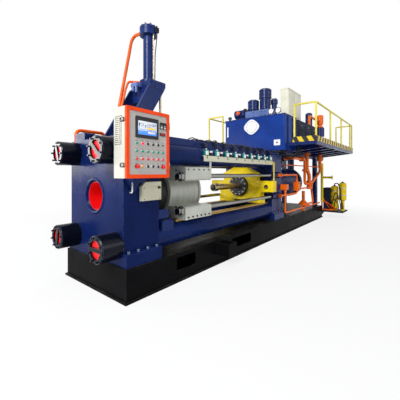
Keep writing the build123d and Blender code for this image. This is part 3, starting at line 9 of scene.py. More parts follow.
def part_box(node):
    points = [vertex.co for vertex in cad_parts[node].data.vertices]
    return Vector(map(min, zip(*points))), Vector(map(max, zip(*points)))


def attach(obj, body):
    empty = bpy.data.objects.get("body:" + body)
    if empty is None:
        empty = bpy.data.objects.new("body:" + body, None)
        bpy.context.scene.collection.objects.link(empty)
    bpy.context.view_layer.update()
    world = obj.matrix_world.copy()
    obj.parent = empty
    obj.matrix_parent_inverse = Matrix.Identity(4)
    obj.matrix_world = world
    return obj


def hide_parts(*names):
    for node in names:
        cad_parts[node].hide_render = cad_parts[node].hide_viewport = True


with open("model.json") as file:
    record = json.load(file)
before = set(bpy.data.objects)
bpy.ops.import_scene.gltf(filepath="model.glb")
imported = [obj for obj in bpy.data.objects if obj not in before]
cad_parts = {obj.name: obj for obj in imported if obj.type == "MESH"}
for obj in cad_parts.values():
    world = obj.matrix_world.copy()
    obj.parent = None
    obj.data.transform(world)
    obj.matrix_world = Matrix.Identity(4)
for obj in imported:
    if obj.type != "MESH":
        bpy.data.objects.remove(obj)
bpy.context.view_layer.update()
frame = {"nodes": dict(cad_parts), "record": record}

# Places that the CAD part gives, in metres
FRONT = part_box("front_platen")[0].x
PLATEN_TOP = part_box("rear_platen")[1].z
PLATEN_SIDE = -0.668
AXIS = 1.25
REAR_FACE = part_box("rear_platen")[0].x
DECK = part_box("walkway_deck")[1].z
BASE_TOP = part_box("base_plates")[1].z
TIE_Y = 0.511
TIE_Z = 0.59

# Directions seen from the operator's side, and the bodies that pieces ride on
FORE, AFT, UP, NEAR, FAR = (-1, 0, 0), (1, 0, 0), (0, 0, 1), (0, -1, 0), (0, 1, 0)
FIXED, DOOR, CONTAINER, CROSSHEAD = "press_frame", "door", "container", "crosshead"

DUST = (0.20, 0.19, 0.15)
EDGE_WEAR = 0.008


# Materials


def feed(tree, made, sockets):
    """Sets a node's sockets to numbers or colours, or links other sockets to them."""
    for key, value in sockets.items():
        socket = made.inputs[key]
        if isinstance(value, tuple):
            socket.default_value = (*value, 1.0)
        elif isinstance(value, (int, float)):
            socket.default_value = value
        else:
            tree.links.new(value, socket)


def node(tree, kind, sockets=None, **settings):
    made = tree.nodes.new(kind)
    for key, value in settings.items():
        setattr(made, key, value)
    feed(tree, made, sockets or {})
    return made


def noise(tree, scale, detail, coordinates):
    sockets = {"Scale": scale, "Detail": detail, "Vector": coordinates}
    return node(tree, "ShaderNodeTexNoise", sockets).outputs["Fac"]


def ramp(tree, value, low, high, start=0.0, end=1.0):
    sockets = {"Value": value, "From Min": low, "From Max": high, "To Min": start, "To Max": end}
    return node(tree, "ShaderNodeMapRange", sockets).outputs["Result"]


def mixed(tree, factor, one, two):
    return node(tree, "ShaderNodeMix", {0: factor, 6: one, 7: two}, data_type="RGBA").outputs[2]


def maths(tree, operation, *values, **settings):
    return node(tree, "ShaderNodeMath", dict(enumerate(values)), operation=operation, **settings).outputs[0]


def face_normal(tree):
    return node(tree, "ShaderNodeNewGeometry").outputs["Normal"]


def shade(colour, factor):
    return tuple(min(1.0, channel * factor) for channel in colour)


def surface(
    name, colour, rough, metallic=0.0, coat=0.0, vary=0.25, grain=0.02, grain_scale=90.0,
    wear=None, dust=0.0, stretch=(1.0, 1.0, 1.0), glow=None, shine=0.3,
):
    """Painted or bare surface with cloudy colour, uneven gloss, fine relief and worn edges."""
    material = bpy.data.materials.new(name)
    material.use_nodes = True
    tree = material.node_tree
    place = node(tree, "ShaderNodeTexCoord").outputs["Object"]
    mapping = node(tree, "ShaderNodeMapping", {"Vector": place})
    mapping.inputs["Scale"].default_value = stretch
    stretched = mapping.outputs["Vector"]
    clouds = ramp(tree, noise(tree, 2.3, 5.0, stretched), 0.3, 0.7)
    paint = mixed(tree, clouds, shade(colour, 1 - vary), shade(colour, 1 + vary * 0.6))
    speck = ramp(tree, noise(tree, grain_scale, 2.0, stretched), 0.35, 0.75, 0.0, 0.35)
    paint = mixed(tree, speck, paint, shade(colour, 0.8))
    if wear:
        rounded = node(tree, "ShaderNodeBevel", {"Radius": EDGE_WEAR}, samples=4).outputs["Normal"]
        dot = node(tree, "ShaderNodeVectorMath", {0: rounded, 1: face_normal(tree)}, operation="DOT_PRODUCT")
        edge = ramp(tree, dot.outputs["Value"], 0.995, 0.90, 0.0, 0.75)
        breaks = ramp(tree, noise(tree, 14.0, 4.0, place), 0.42, 0.62)
        paint = mixed(tree, maths(tree, "MULTIPLY", edge, breaks), paint, wear)
    if dust:
        up = node(tree, "ShaderNodeSeparateXYZ", {0: face_normal(tree)}).outputs["Z"]
        top = ramp(tree, up, 0.6, 1.0, 0.0, dust)
        patch = ramp(tree, noise(tree, 5.0, 6.0, place), 0.35, 0.7)
        paint = mixed(tree, maths(tree, "MULTIPLY", top, patch), paint, DUST)
    gloss = ramp(tree, noise(tree, 6.0, 5.0, stretched), 0.3, 0.7, max(0.04, rough - 0.06), rough + 0.09)
    sockets = {"Base Color": paint, "Roughness": gloss, "Metallic": metallic, "Specular IOR Level": shine}
    if coat:
        sockets |= {"Coat Weight": coat, "Coat Roughness": 0.12}
    if glow:
        sockets |= {"Emission Color": colour, "Emission Strength": glow}
    relief = noise(tree, grain_scale, 3.0, stretched)
    bump = node(tree, "ShaderNodeBump", {"Strength": 0.35, "Distance": grain * 0.05, "Height": relief})
    feed(tree, tree.nodes["Principled BSDF"], sockets | {"Normal": bump.outputs["Normal"]})
    return material


def hazard_stripes(name, slant=-0.55, start=-0.06, pitch=0.115, bar=0.055):
    """Yellow boards with slanted black bars, on any upright face."""
    material = surface(name, (0.80, 0.56, 0.015), 0.42, vary=0.2)
    tree = material.node_tree
    base = tree.nodes["Principled BSDF"].inputs["Base Color"]
    place = node(tree, "ShaderNodeTexCoord").outputs["Object"]
    split = node(tree, "ShaderNodeSeparateXYZ", {0: place})
    along = maths(tree, "ADD", split.outputs["X"], split.outputs["Y"])
    slanted = maths(tree, "MULTIPLY_ADD", split.outputs["Z"], slant, along)
    wave = maths(tree, "PINGPONG", maths(tree, "ADD", slanted, start), pitch)
    bars = ramp(tree, wave, bar, bar + 0.003)
    paint = base.links[0].from_socket
    tree.links.new(mixed(tree, bars, paint, (0.012, 0.012, 0.012)), base)
    return material


looks = {}


def look(name, colour, rough, **options):
    looks[name] = surface(name, colour, rough, **options)


BLUE_WEAR = (0.06, 0.10, 0.26)
look("base_black", (0.0048, 0.0048, 0.0054), 0.34, wear=(0.03, 0.03, 0.03), dust=0.16, shine=0.02)
look("press_blue", (0.0072, 0.0215, 0.116), 0.26, wear=BLUE_WEAR, dust=0.05, shine=0.15)
# Platen blue: press blue darkened as painted shade, for the platen's shaded near side
look("platen_blue", (0.0038, 0.0125, 0.080), 0.26, wear=BLUE_WEAR, shine=0.06)
look("nut_black", (0.0030, 0.0040, 0.010), 0.20, wear=(0.16, 0.17, 0.22), shine=0.14)
look("liner_red", (0.85, 0.005, 0.006), 0.42, vary=0.2)
look("machine_yellow", (0.95, 0.66, 0.004), 0.33, wear=(0.75, 0.60, 0.20), shine=0.2)
look("rail_yellow", (0.86, 0.72, 0.075), 0.40, shine=0.12)
look("pipe_orange", (0.86, 0.110, 0.006), 0.30, wear=(0.9, 0.40, 0.15), shine=0.2)
look("casting_grey", (0.46, 0.47, 0.41), 0.42, metallic=0.2, vary=0.2, grain_scale=40, stretch=(8, 1, 1))
look("ring_dark", (0.030, 0.030, 0.030), 0.50, metallic=0.3, grain_scale=40)
look("machined_steel", (0.36, 0.31, 0.23), 0.30, metallic=0.85, stretch=(1, 8, 8))
look(
    "lug_silver", (0.55, 0.56, 0.50), 0.40, metallic=0.2, wear=(0.7, 0.7, 0.66), vary=0.22, grain=0.05,
    grain_scale=55,
)
look("rod_chrome", (0.29, 0.29, 0.265), 0.18, metallic=1.0, vary=0.15, grain=0.005)
look("way_brass", (0.40, 0.24, 0.06), 0.33, metallic=0.7, dust=0.10)
look("cabinet_white", (0.55, 0.545, 0.480), 0.45, vary=0.06, shine=0.15)
look("frame_orange", (0.90, 0.072, 0.008), 0.40, vary=0.10, shine=0.08)
look("panel_dark", (0.012, 0.011, 0.013), 0.36, vary=0.15, shine=0.2)
look("button_red", (0.78, 0.010, 0.012), 0.24, vary=0.08, coat=0.2)
look("button_green", (0.004, 0.26, 0.15), 0.26, vary=0.08, coat=0.2)
look("box_beige", (0.62, 0.60, 0.45), 0.45, vary=0.08)
look("switch_teal", (0.008, 0.21, 0.19), 0.38, vary=0.3, shine=0.15)
look("enclosure_dark", (0.020, 0.026, 0.050), 0.5, grain=0.3, grain_scale=120, shine=0.04, dust=0.1)
look("motor_blue", (0.008, 0.020, 0.115), 0.30, wear=BLUE_WEAR, shine=0.2)
looks["hazard"] = hazard_stripes("hazard")

# Looks of small fittings, which the record has no slot for
look("panel_grey", (0.46, 0.43, 0.40), 0.42, vary=0.05)
look("bolt_black", (0.018, 0.018, 0.020), 0.35, metallic=0.6)
look("bolt_zinc", (0.46, 0.47, 0.48), 0.32, metallic=0.9)
look("bolt_blue", (0.012, 0.022, 0.09), 0.3, coat=0.3)
look("rubber", (0.010, 0.010, 0.011), 0.50)
look("dial_white", (0.86, 0.86, 0.84), 0.35, vary=0.03)
look("label_ink", (0.06, 0.06, 0.065), 0.5)
look("screen_white", (0.70, 0.74, 0.80), 0.2, vary=0.02, glow=0.12)
look("screen_blue", (0.05, 0.22, 0.72), 0.2, vary=0.25, glow=0.5)
look("screen_yellow", (0.85, 0.58, 0.05), 0.2, vary=0.03, glow=0.25)
look("led_red", (0.85, 0.01, 0.02), 0.25, vary=0.05, glow=0.6)
look("lamp_amber", (0.80, 0.30, 0.03), 0.25, vary=0.05, coat=0.3)
look("slot_shadow", (0.14, 0.13, 0.11), 0.6, vary=0.1)
look("foot_bolt_steel", (0.10, 0.12, 0.19), 0.36, metallic=0.6)

# Parts of one paint that look different on the machine. The lighter copies for the tank, the manifold, the
# tall cabinet and the orange pipes carry painted light; the darker copy for the compression sleeves carries
# painted shade.
# Orange brightened as painted light, for the pipes on the shaded side, their valve blocks and the pipe
# flanges
painted_light_orange = surface("painted_light_orange", (0.97, 0.155, 0.006), 0.30, wear=(0.9, 0.40, 0.15), shine=0.2)
own_looks = {
    # Tank: press blue lightened and made more saturated as painted light
    "tank_shell": surface("tank_blue_painted_light", (0.0085, 0.040, 0.245), 0.26, wear=BLUE_WEAR, shine=0.08),
    # Manifold: blue lightened as a painted highlight
    "valve_manifold": surface("manifold_blue_painted_highlight", (0.105, 0.165, 0.42), 0.30, wear=(0.4, 0.46, 0.6), shine=0.3),
    # Tall cabinet: the beige lightened as painted light
    "electrical_cabinet": surface("tall_cabinet_white_painted_light", (0.87, 0.85, 0.69), 0.42, vary=0.05),
    "stem_clamp": surface("clamp_steel", (0.035, 0.034, 0.034), 0.34, metallic=0.7, stretch=(1, 8, 8)),
    "stem": surface("stem_steel", (0.46, 0.36, 0.19), 0.28, metallic=0.9, stretch=(1, 8, 8), vary=0.5),
    "side_oil_pipes": painted_light_orange,
    "main_oil_pipes": painted_light_orange,
    "side_valve_blocks": painted_light_orange,
    # Compression sleeves: press blue darkened as painted shade
    "compression_sleeves": surface("sleeve_blue_painted_shade", (0.0060, 0.0178, 0.098), 0.24, wear=BLUE_WEAR, shine=0.07),
}

slot_of = {row["node"]: row["material_slot"] for row in frame["record"]["subparts"]}
SLOTS = set(slot_of.values())
for name, cad in frame["nodes"].items():
    cad.data.materials.clear()
    cad.data.materials.append(own_looks.get(name, looks[slot_of[name]]))


# Mesh tools


def new_object(name, data):
    made = bpy.data.objects.new(name, data)
    bpy.context.scene.collection.objects.link(made)
    return made


def turn_to(axis):
    return Vector(UP).rotation_difference(Vector(axis)).to_matrix()


def ring_of(count, radius, turn=0.0):
    """Corners of a circle as pairs, turned by a share of one step."""
    angles = [2 * pi * (step + turn) / count for step in range(count)]
    return [(radius * cos(angle), radius * sin(angle)) for angle in angles]


def moved(spot, points):
    """Points that are given as offsets from a spot."""
    return [Vector(spot) + Vector(point) for point in points]


def rounded_path(points, bend, steps=7):
    points = [Vector(point) for point in points]
    path = [points[0]]
    for before, corner, after in zip(points, points[1:], points[2:]):
        one = before - corner
        two = after - corner
        angle = one.angle(two)
        reach = bend / max(0.05, tan(angle / 2) if angle < pi - 0.001 else 50)
        reach = min(reach, one.length * 0.48, two.length * 0.48)
        start = corner + one.normalized() * reach
        end = corner + two.normalized() * reach
        for step in range(steps + 1):
            share = step / steps
            path.append(start.lerp(corner, share).lerp(corner.lerp(end, share), share))
    path.append(points[-1])
    return path


class Piece:
    """Gathers simple solids into one mesh that rides on a body."""

    def __init__(self, name, look, body=FIXED, slot=None):
        """look is a material, or a look's name, which is the slot too if the record has it."""
        named = isinstance(look, str)
        self.name, self.body = name, body
        self.material = looks[look] if named else look
        self.slot = slot or (look if named and look in SLOTS else None)
        self.bm = bmesh.new()

    def ring(self, points):
        return [self.bm.verts.new(point) for point in points]

    def bridge(self, one, two):
        """Faces between two rings, either of which may be a single point."""
        count = max(len(one), len(two))
        for step in range(count):
            after = (step + 1) % count
            corners = [
                one[step % len(one)], one[after % len(one)], two[after % len(two)], two[step % len(two)],
            ]
            self.bm.faces.new(list(dict.fromkeys(corners)))

    def box(self, x0, x1, y0, y1, z0, z1, bevel=0.0, turn=None, about=None):
        middle = Vector(((x0 + x1) / 2, (y0 + y1) / 2, (z0 + z1) / 2))
        half = Vector((abs(x1 - x0) / 2, abs(y1 - y0) / 2, abs(z1 - z0) / 2))
        made = bmesh.ops.create_cube(self.bm, size=2.0)["verts"]
        for vert in made:
            vert.co = Vector(c * h for c, h in zip(vert.co, half)) + middle
        if bevel:
            edges = dict.fromkeys(edge for vert in made for edge in vert.link_edges)
            result = bmesh.ops.bevel(
                self.bm, geom=list(edges), offset=bevel, segments=2, affect="EDGES", profile=0.7,
            )
            kept = {vert for vert in made if vert.is_valid}
            made = list({vert for face in result["faces"] for vert in face.verts} | kept)
        if turn:
            for vert in made:
                vert.co = turn @ (vert.co - Vector(about)) + Vector(about)
        return self

    def block(self, spot, spans, bevel=0.0, turn=None):
        """Box whose six limits are offsets from a spot, turned about it."""
        x, y, z = spot
        x0, x1, y0, y1, z0, z1 = spans
        return self.box(x + x0, x + x1, y + y0, y + y1, z + z0, z + z1, bevel, turn, spot)

    def lathe(self, place, axis, profile, segments=32):
        """Closed turned solid: profile is (radius, distance along the axis), from axis to axis."""
        turn = turn_to(axis)
        rings = []
        for radius, along in profile:
            corners = ring_of(segments, radius) if radius else [(0, 0)]
            rings.append(self.ring(Vector(place) + turn @ Vector((a, b, along)) for a, b in corners))
        for one, two in zip(rings, rings[1:]):
            self.bridge(one, two)
        return self

    def drum(self, start, end, radius, bevel=0.0, segments=32):
        axis = Vector(end) - Vector(start)
        length = axis.length
        bevel = min(bevel, radius * 0.45, length * 0.45)
        if bevel:
            soft = bevel * 0.3
            profile = [
                (0, 0), (radius - bevel, 0), (radius - soft, soft), (radius, bevel), (radius, length - bevel),
                (radius - soft, length - soft), (radius - bevel, length), (0, length),
            ]
        else:
            profile = [(0, 0), (radius, 0), (radius, length), (0, length)]
        return self.lathe(start, axis, profile, segments)

    def hexagon(self, place, axis, across, height):
        """Hexagon bolt head on a washer."""
        axis = Vector(axis).normalized()
        radius = across / 2 / cos(pi / 6)
        base = Vector(place) + axis * height * 0.22
        self.drum(place, base, across * 0.62, height * 0.05, 20)
        profile = [
            (0, 0), (radius, 0), (radius, height * 0.62), (radius * 0.84, height * 0.78), (0, height * 0.78),
        ]
        return self.lathe(base, axis, profile, 6)

    def socket(self, place, axis, radius, height):
        """Socket head cap bolt with a round recess."""
        inner = radius * 0.5
        profile = [
            (0, 0), (radius, 0), (radius, height * 0.85), (radius * 0.88, height), (inner, height),
            (inner, height * 0.45), (0, height * 0.45),
        ]
        return self.lathe(place, axis, profile, 18)

    def tube(self, points, radius, bend, segments=14):
        """Round tube along straight runs with rounded corners."""
        path = rounded_path(points, bend)
        rings = []
        normal = None
        for index, spot in enumerate(path):
            before = path[max(index - 1, 0)]
            after = path[min(index + 1, len(path) - 1)]
            tangent = (after - before).normalized()
            normal = normal or tangent.orthogonal().normalized()
            normal = (normal - tangent * normal.dot(tangent)).normalized()
            other = tangent.cross(normal)
            rings.append(self.ring(spot + (normal * a + other * b) * radius for a, b in ring_of(segments, 1)))
        for one, two in zip(rings, rings[1:]):
            self.bridge(one, two)
        self.bm.faces.new(list(reversed(rings[0])))
        self.bm.faces.new(rings[-1])
        return self

    def plate(self, points, offset):
        """Flat plate from an outline, thickened along offset."""
        low = self.ring(points)
        high = self.ring(moved(offset, points))
        self.bm.faces.new(list(reversed(low)))
        self.bm.faces.new(high)
        self.bridge(low, high)
        return self

    def done(self, replaces=None, smooth=35):
        bmesh.ops.recalc_face_normals(self.bm, faces=self.bm.faces)
        mesh = bpy.data.meshes.new(self.name)
        self.bm.to_mesh(mesh)
        self.bm.free()
        mesh.polygons.foreach_set("use_smooth", [True] * len(mesh.polygons))
        mesh.set_sharp_from_angle(angle=radians(smooth))
        mesh.materials.append(self.material)
        made = new_object(self.name, mesh)
        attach(made, self.body)
        if replaces:
            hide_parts(*replaces)


# Camera

camera = new_object("camera", bpy.data.cameras.new("camera"))
camera.data.lens = 24.09
camera.data.sensor_width = 36.0
camera.data.shift_y = -0.068
camera.location = (-5.999, -3.438, 1.565)
camera.rotation_euler = (radians(90), 0, radians(-50.623))
camera.data.clip_end = 200
bpy.context.scene.camera = camera

# Platens and nuts

FOOT_TOP = BASE_TOP + 0.165
foot_bolts = Piece("platen_foot_bolts", "foot_bolt_steel")
for face in (FRONT, REAR_FACE):
    for side in (-1, 1):
        for station in (0.052, 0.197, 0.348, 0.501):
            foot_bolts.hexagon((face + station, side * 0.702, FOOT_TOP), UP, 0.032, 0.030)
foot_bolts.done()
throat = Piece("throat_ring", "platen_blue")
throat.lathe(
    (FRONT, 0, AXIS), FORE,
    [(0.206, 0), (0.248, 0), (0.246, 0.005), (0.238, 0.011), (0.228, 0.013), (0.216, 0.011), (0.208, 0.005),
     (0.206, 0)],
    72,
)
throat.done(smooth=60)
studs = Piece("platen_side_studs", "nut_black")
for z in (1.10, 1.347, 1.606):
    spot = (FRONT + 0.055, -PLATEN_SIDE, z)
    studs.hexagon(spot, FAR, 0.045, 0.026)
    studs.drum(*moved(spot, [(0, 0, 0), (0, 0.042, 0)]), 0.012, 0.003, 16)
studs.done()

nut_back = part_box("tie_rod_nuts")[1].x
rings = Piece("nut_edge_rings", "bolt_blue")
for z in (AXIS - TIE_Z, AXIS + TIE_Z):
    for y in (TIE_Y, -TIE_Y):
        for dy, dz in ring_of(8, 0.142, 0.25):
            rings.hexagon((nut_back, y + dy, z + dz), AFT, 0.030, 0.018)
rings.done()

# Operator's cabinet: the panel's sheet, with holes that the stop buttons move in

door_low, door_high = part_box("cabinet_door")
cabinet_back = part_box("operator_cabinet")[1].y
CABINET_X = FRONT - 0.155
CABINET_END = CABINET_X + 0.652
CABINET_BOTTOM = door_low.z
CABINET_TOP = door_high.z
PANEL = door_low.y + 0.012
SHEET_FACE = PANEL - 0.0025
SHEET_BACK = PANEL + 0.0005
SHEET_EDGE = 0.043
STOP_HOLE = 0.027
STOP_CELL = 0.030

sheet = Piece("panel_sheet", "panel_grey", DOOR)
sheet_x0, sheet_x1 = CABINET_X + SHEET_EDGE, CABINET_END - SHEET_EDGE
stops = [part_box(name) for name in ("stop_button_left", "stop_button_right")]
stop_spots = [((low.x + high.x) / 2, (low.z + high.z) / 2) for low, high in stops]
stop_low = stop_spots[0][1] - STOP_CELL
stop_high = stop_spots[0][1] + STOP_CELL


def holed_cell(x, z):
    """Square of the sheet with a round hole in it."""
    rings = []
    for y, hole in ((SHEET_FACE, True), (SHEET_FACE, False), (SHEET_BACK, False), (SHEET_BACK, True)):
        points = []
        for a, b in ring_of(32, 1.0, 0.5):
            reach = STOP_HOLE if hole else STOP_CELL / max(abs(a), abs(b))
            points.append((x + a * reach, y, z + b * reach))
        rings.append(sheet.ring(points))
    for one, two in zip(rings, rings[1:] + rings[:1]):
        sheet.bridge(one, two)


sheet.box(sheet_x0, sheet_x1, SHEET_FACE, SHEET_BACK, stop_high, CABINET_TOP - SHEET_EDGE)
sheet.box(sheet_x0, sheet_x1, SHEET_FACE, SHEET_BACK, CABINET_BOTTOM + SHEET_EDGE, stop_low)
edges = [sheet_x0]
for x, z in stop_spots:
    holed_cell(x, z)
    edges += [x - STOP_CELL, x + STOP_CELL]
edges.append(sheet_x1)
for x0, x1 in zip(edges[::2], edges[1::2]):
    sheet.box(x0, x1, SHEET_FACE, SHEET_BACK, stop_low, stop_high)
sheet.done()

# Screen: a plain made-up picture of raised plates

SCREEN_FACE = PANEL - 0.014
PICTURE_X = CABINET_X + 0.157
PICTURE_Z = CABINET_TOP - 0.304
PICTURE_WIDTH = 0.278
PICTURE_HEIGHT = 0.159


def screen_plate(name, look, x0, x1, z0, z1, depth=0.0020):
    """Thin plate on the screen, from shares of the lit picture."""
    x0, x1 = PICTURE_WIDTH * x0, PICTURE_WIDTH * x1
    z0, z1 = PICTURE_HEIGHT * z0, PICTURE_HEIGHT * z1
    piece = Piece(name, look, DOOR)
    return piece.block((PICTURE_X, SCREEN_FACE, PICTURE_Z), (x0, x1, -depth, 0.001, z0, z1), 0.0004)


def add_marks(piece, marks):
    for x, z, wide, high in marks:
        piece.block((PICTURE_X + x, SCREEN_FACE, PICTURE_Z + z), (0, wide, -0.0020, 0, 0, high), 0.0004)
    piece.done()


screen_plate("screen_sky", "screen_white", 0, 1, 0.30, 1, 0.0012).done()
screen_plate("screen_ground", "screen_blue", 0, 1, 0, 0.30, 0.0012).done()
screen_plate("screen_strip", "screen_yellow", 0.46, 0.90, 0.44, 0.57).done()
screen_plate("screen_field", "dial_white", 0.52, 0.92, 0.12, 0.26).done()
add_marks(screen_plate("screen_marks", "label_ink", 0.03, 0.09, 0.62, 0.84), (
    (0.035, 0.128, 0.022, 0.006), (0.064, 0.118, 0.018, 0.010), (0.092, 0.110, 0.024, 0.006),
    (0.045, 0.098, 0.030, 0.006), (0.100, 0.088, 0.012, 0.016), (0.150, 0.120, 0.045, 0.006),
    (0.205, 0.130, 0.040, 0.006), (0.205, 0.112, 0.050, 0.006), (0.140, 0.098, 0.050, 0.004),
))
add_marks(screen_plate("screen_blue_marks", "screen_blue", 0.03, 0.40, 0.36, 0.39), (
    (0.010, 0.066, 0.006, 0.050), (0.130, 0.050, 0.004, 0.080), (0.150, 0.054, 0.060, 0.010),
    (0.225, 0.054, 0.040, 0.010), (0.252, 0.120, 0.016, 0.020),
))

# Meters and the red display beside the screen

METER_X = CABINET_X + 0.498
dials = Piece("meter_dials", "dial_white", DOOR)
for offset in (0.0, 0.0545):
    for drop, high in ((0.162, 0.004), (0.180, 0.009), (0.198, 0.004)):
        spot = (METER_X + offset, PANEL, CABINET_TOP - drop)
        dials.block(spot, (0.006, 0.0385, -0.0132, -0.011, -high, 0), 0.0005)
dials.done()
digits = Piece("red_display", "led_red", DOOR)
for step in range(3):
    spot = (METER_X + 0.016 + step * 0.020, PANEL, CABINET_TOP - 0.280)
    for x0, x1, z0, z1 in (
        (0, 0.011, 0, 0.002), (0, 0.011, 0.009, 0.011), (0, 0.011, 0.018, 0.020), (0, 0.002, 0, 0.020),
        (0.009, 0.011, 0, 0.020),
    ):
        digits.block(spot, (x0, x1, -0.0132, -0.0115, z0, z1))
digits.done()

# Push buttons, selectors and plain label strips on the panel

ROWS = [CABINET_TOP - drop for drop in (0.407, 0.497, 0.586, 0.673)]
COLUMNS = [CABINET_X + 0.146 + 0.080 * column for column in range(6)]
bezels = Piece("button_bezels", "bolt_zinc", DOOR)
black = Piece("selector_switches", looks["panel_dark"], DOOR)
labels = Piece("button_labels", "label_ink", DOOR)
push = {
    "green": Piece("green_buttons", looks["button_green"], DOOR),
    "red": Piece("red_buttons", looks["button_red"], DOOR),
    "lit": Piece("lit_button", "led_red", DOOR),
    "amber": Piece("amber_button", "lamp_amber", DOOR),
}
BEZEL = [
    (0, 0), (0.0235, 0), (0.0235, 0.004), (0.0215, 0.0065), (0.0175, 0.0065), (0.0170, 0.0035), (0, 0.0035),
]
BUTTON = [(0, 0), (0.0165, 0), (0.0165, 0.008), (0.0150, 0.0105), (0.0090, 0.0118), (0, 0.0122)]
SELECTOR = [(0, 0), (0.0165, 0), (0.0165, 0.005), (0.0150, 0.006), (0, 0.006)]
STOP_COLLAR = [(0.0102, 0), (0.0170, 0), (0.0170, 0.009), (0.0155, 0.0113), (0.0102, 0.0113), (0.0102, 0)]
LABEL_DEPTH = (-0.0008, 0.0004)


def selector(spot, seat, tilt):
    bezels.lathe(spot, NEAR, BEZEL, 28)
    black.lathe(seat, NEAR, SELECTOR, 28)
    turn = Matrix.Rotation(radians(tilt), 3, "Y")
    black.block(spot, (-0.0055, 0.0055, -0.0150, -0.005, -0.018, 0.018), 0.0015, turn)


plan = [
    ["green", "lit", "turn", "turn", "turn", "flat"],
    ["green"] * 6,
    ["red"] * 6,
    ["stop", "amber", "turn", "turn", "turn", "stop"],
]
for z, row in zip(ROWS, plan):
    for number, (x, kind) in enumerate(zip(COLUMNS, row)):
        spot = (x, SHEET_FACE, z)
        seat = (x, SHEET_FACE - 0.003, z)
        labels.block(spot, (-0.020, 0.020, *LABEL_DEPTH, 0.028, 0.0296))
        labels.block(spot, (-0.014, 0.014, *LABEL_DEPTH, 0.0325, 0.0341))
        if kind in push:
            bezels.lathe(spot, NEAR, BEZEL, 28)
            push[kind].lathe(seat, NEAR, BUTTON, 28)
        elif kind == "turn":
            selector(spot, seat, 35 if number % 2 else -30)
        elif kind == "flat":
            black.block(spot, (-0.012, 0.012, -0.006, 0.001, -0.007, 0.007), 0.0012)
        else:
            black.lathe((x, SHEET_FACE + 0.0005, z), NEAR, STOP_COLLAR, 28)
for number in range(12):
    spot = (CABINET_X + 0.09 + number * 0.040, SHEET_FACE, CABINET_BOTTOM + 0.070)
    labels.block(spot, (0, 0.020 + 0.006 * (number % 3), *LABEL_DEPTH, 0, 0.0016))
for piece in (*push.values(), bezels, black):
    piece.done(replaces=["panel_buttons"])
labels.done()

screws = Piece("panel_screws", "bolt_zinc", DOOR)
for x in (0.060, 0.592):
    for z in (0.060, 0.750):
        spot = (CABINET_X + x, SHEET_FACE, CABINET_BOTTOM + z)
        screws.drum(*moved(spot, [(0, 0.0003, 0), (0, -0.0022, 0)]), 0.006, 0.001, 16)
screws.done()

# Louvres and latches on the cabinet's end, and louvres on its back

louvres = Piece("cabinet_louvres", "cabinet_white")
slots = Piece("louvre_slots", "slot_shadow")
LOUVRE = 0.060
for row in range(15):
    for inset in (0.160, 0.085):
        spot = (CABINET_X, cabinet_back - inset, CABINET_TOP - 0.105 - row * 0.0225)
        louvres.plate(moved(spot, [(0, 0, 0), (0, 0, 0.012), (-0.007, 0.004, 0)]), (0, LOUVRE, 0))
        slots.block(spot, (-0.0012, 0.0008, 0, LOUVRE, -0.0065, -0.0005))
slots.done()
for row in range(8):
    spot = (CABINET_X + 0.16, cabinet_back, CABINET_TOP - 0.10 - row * 0.026)
    louvres.plate(moved(spot, [(0, 0, 0), (0, 0, 0.013), (0, 0.007, 0)]), (0.30, 0, 0))
louvres.done()
latches = Piece("latch_levers", "bolt_zinc")
cases = Piece("latch_cases", "panel_dark")
for z in (CABINET_BOTTOM + 0.150, CABINET_TOP - 0.150):
    spot = (CABINET_X, door_high.y + 0.012, z)
    cases.block(spot, (-0.0105, -0.0005, -0.006, 0.064, -0.024, 0.024), 0.003)
    cases.block(spot, (-0.0180, -0.0100, 0.030, 0.060, -0.016, 0.016), 0.003)
    latches.block(spot, (-0.0155, -0.0095, 0.008, 0.024, -0.009, 0.009), 0.002)
    hoop = [
        (-0.012, 0.030, -0.009), (-0.012, -0.026, -0.009), (-0.012, -0.026, 0.009), (-0.012, 0.030, 0.009),
    ]
    latches.tube(moved(spot, hoop), 0.0030, 0.006, 8)
latches.done()
cases.done()

# Ribbed conduit under the cabinet

conduit = Piece("cabinet_conduit", "dial_white")
x, y = FRONT + 0.100, PLATEN_SIDE - 0.040
for step in range(13):
    z = CABINET_BOTTOM - 0.004 - step * 0.0125
    conduit.drum((x, y, z), (x, y, z - 0.0105), 0.011 if step % 2 else 0.0095, 0.001, 14)
z = CABINET_BOTTOM - 0.182
conduit.tube([(x, y, CABINET_BOTTOM - 0.150), (x, y, z), (x, PLATEN_SIDE + 0.002, z)], 0.0085, 0.016)
conduit.done()

# Side box

side_low, side_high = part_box("side_box")
trim = Piece("side_box_trim", "box_beige")
trim.box(
    side_low.x + 0.012, side_high.x - 0.012, side_low.y + 0.020, side_low.y + 0.027,
    side_low.z + 0.012, side_low.z + 0.175, 0.002,
)
trim.done()
knob = Piece("side_box_knob", "rubber")
knob.lathe(
    (side_high.x - 0.048, side_low.y + 0.026, side_high.z - 0.076), NEAR,
    [(0, 0), (0.017, 0), (0.019, 0.010), (0.015, 0.030), (0, 0.032)], 20,
)
for x in (side_low.x + 0.03, side_high.x - 0.03):
    for z in (side_low.z + 0.02, side_low.z + 0.16):
        knob.socket((x, side_low.y + 0.021, z), NEAR, 0.006, 0.005)
knob.done()

# Container

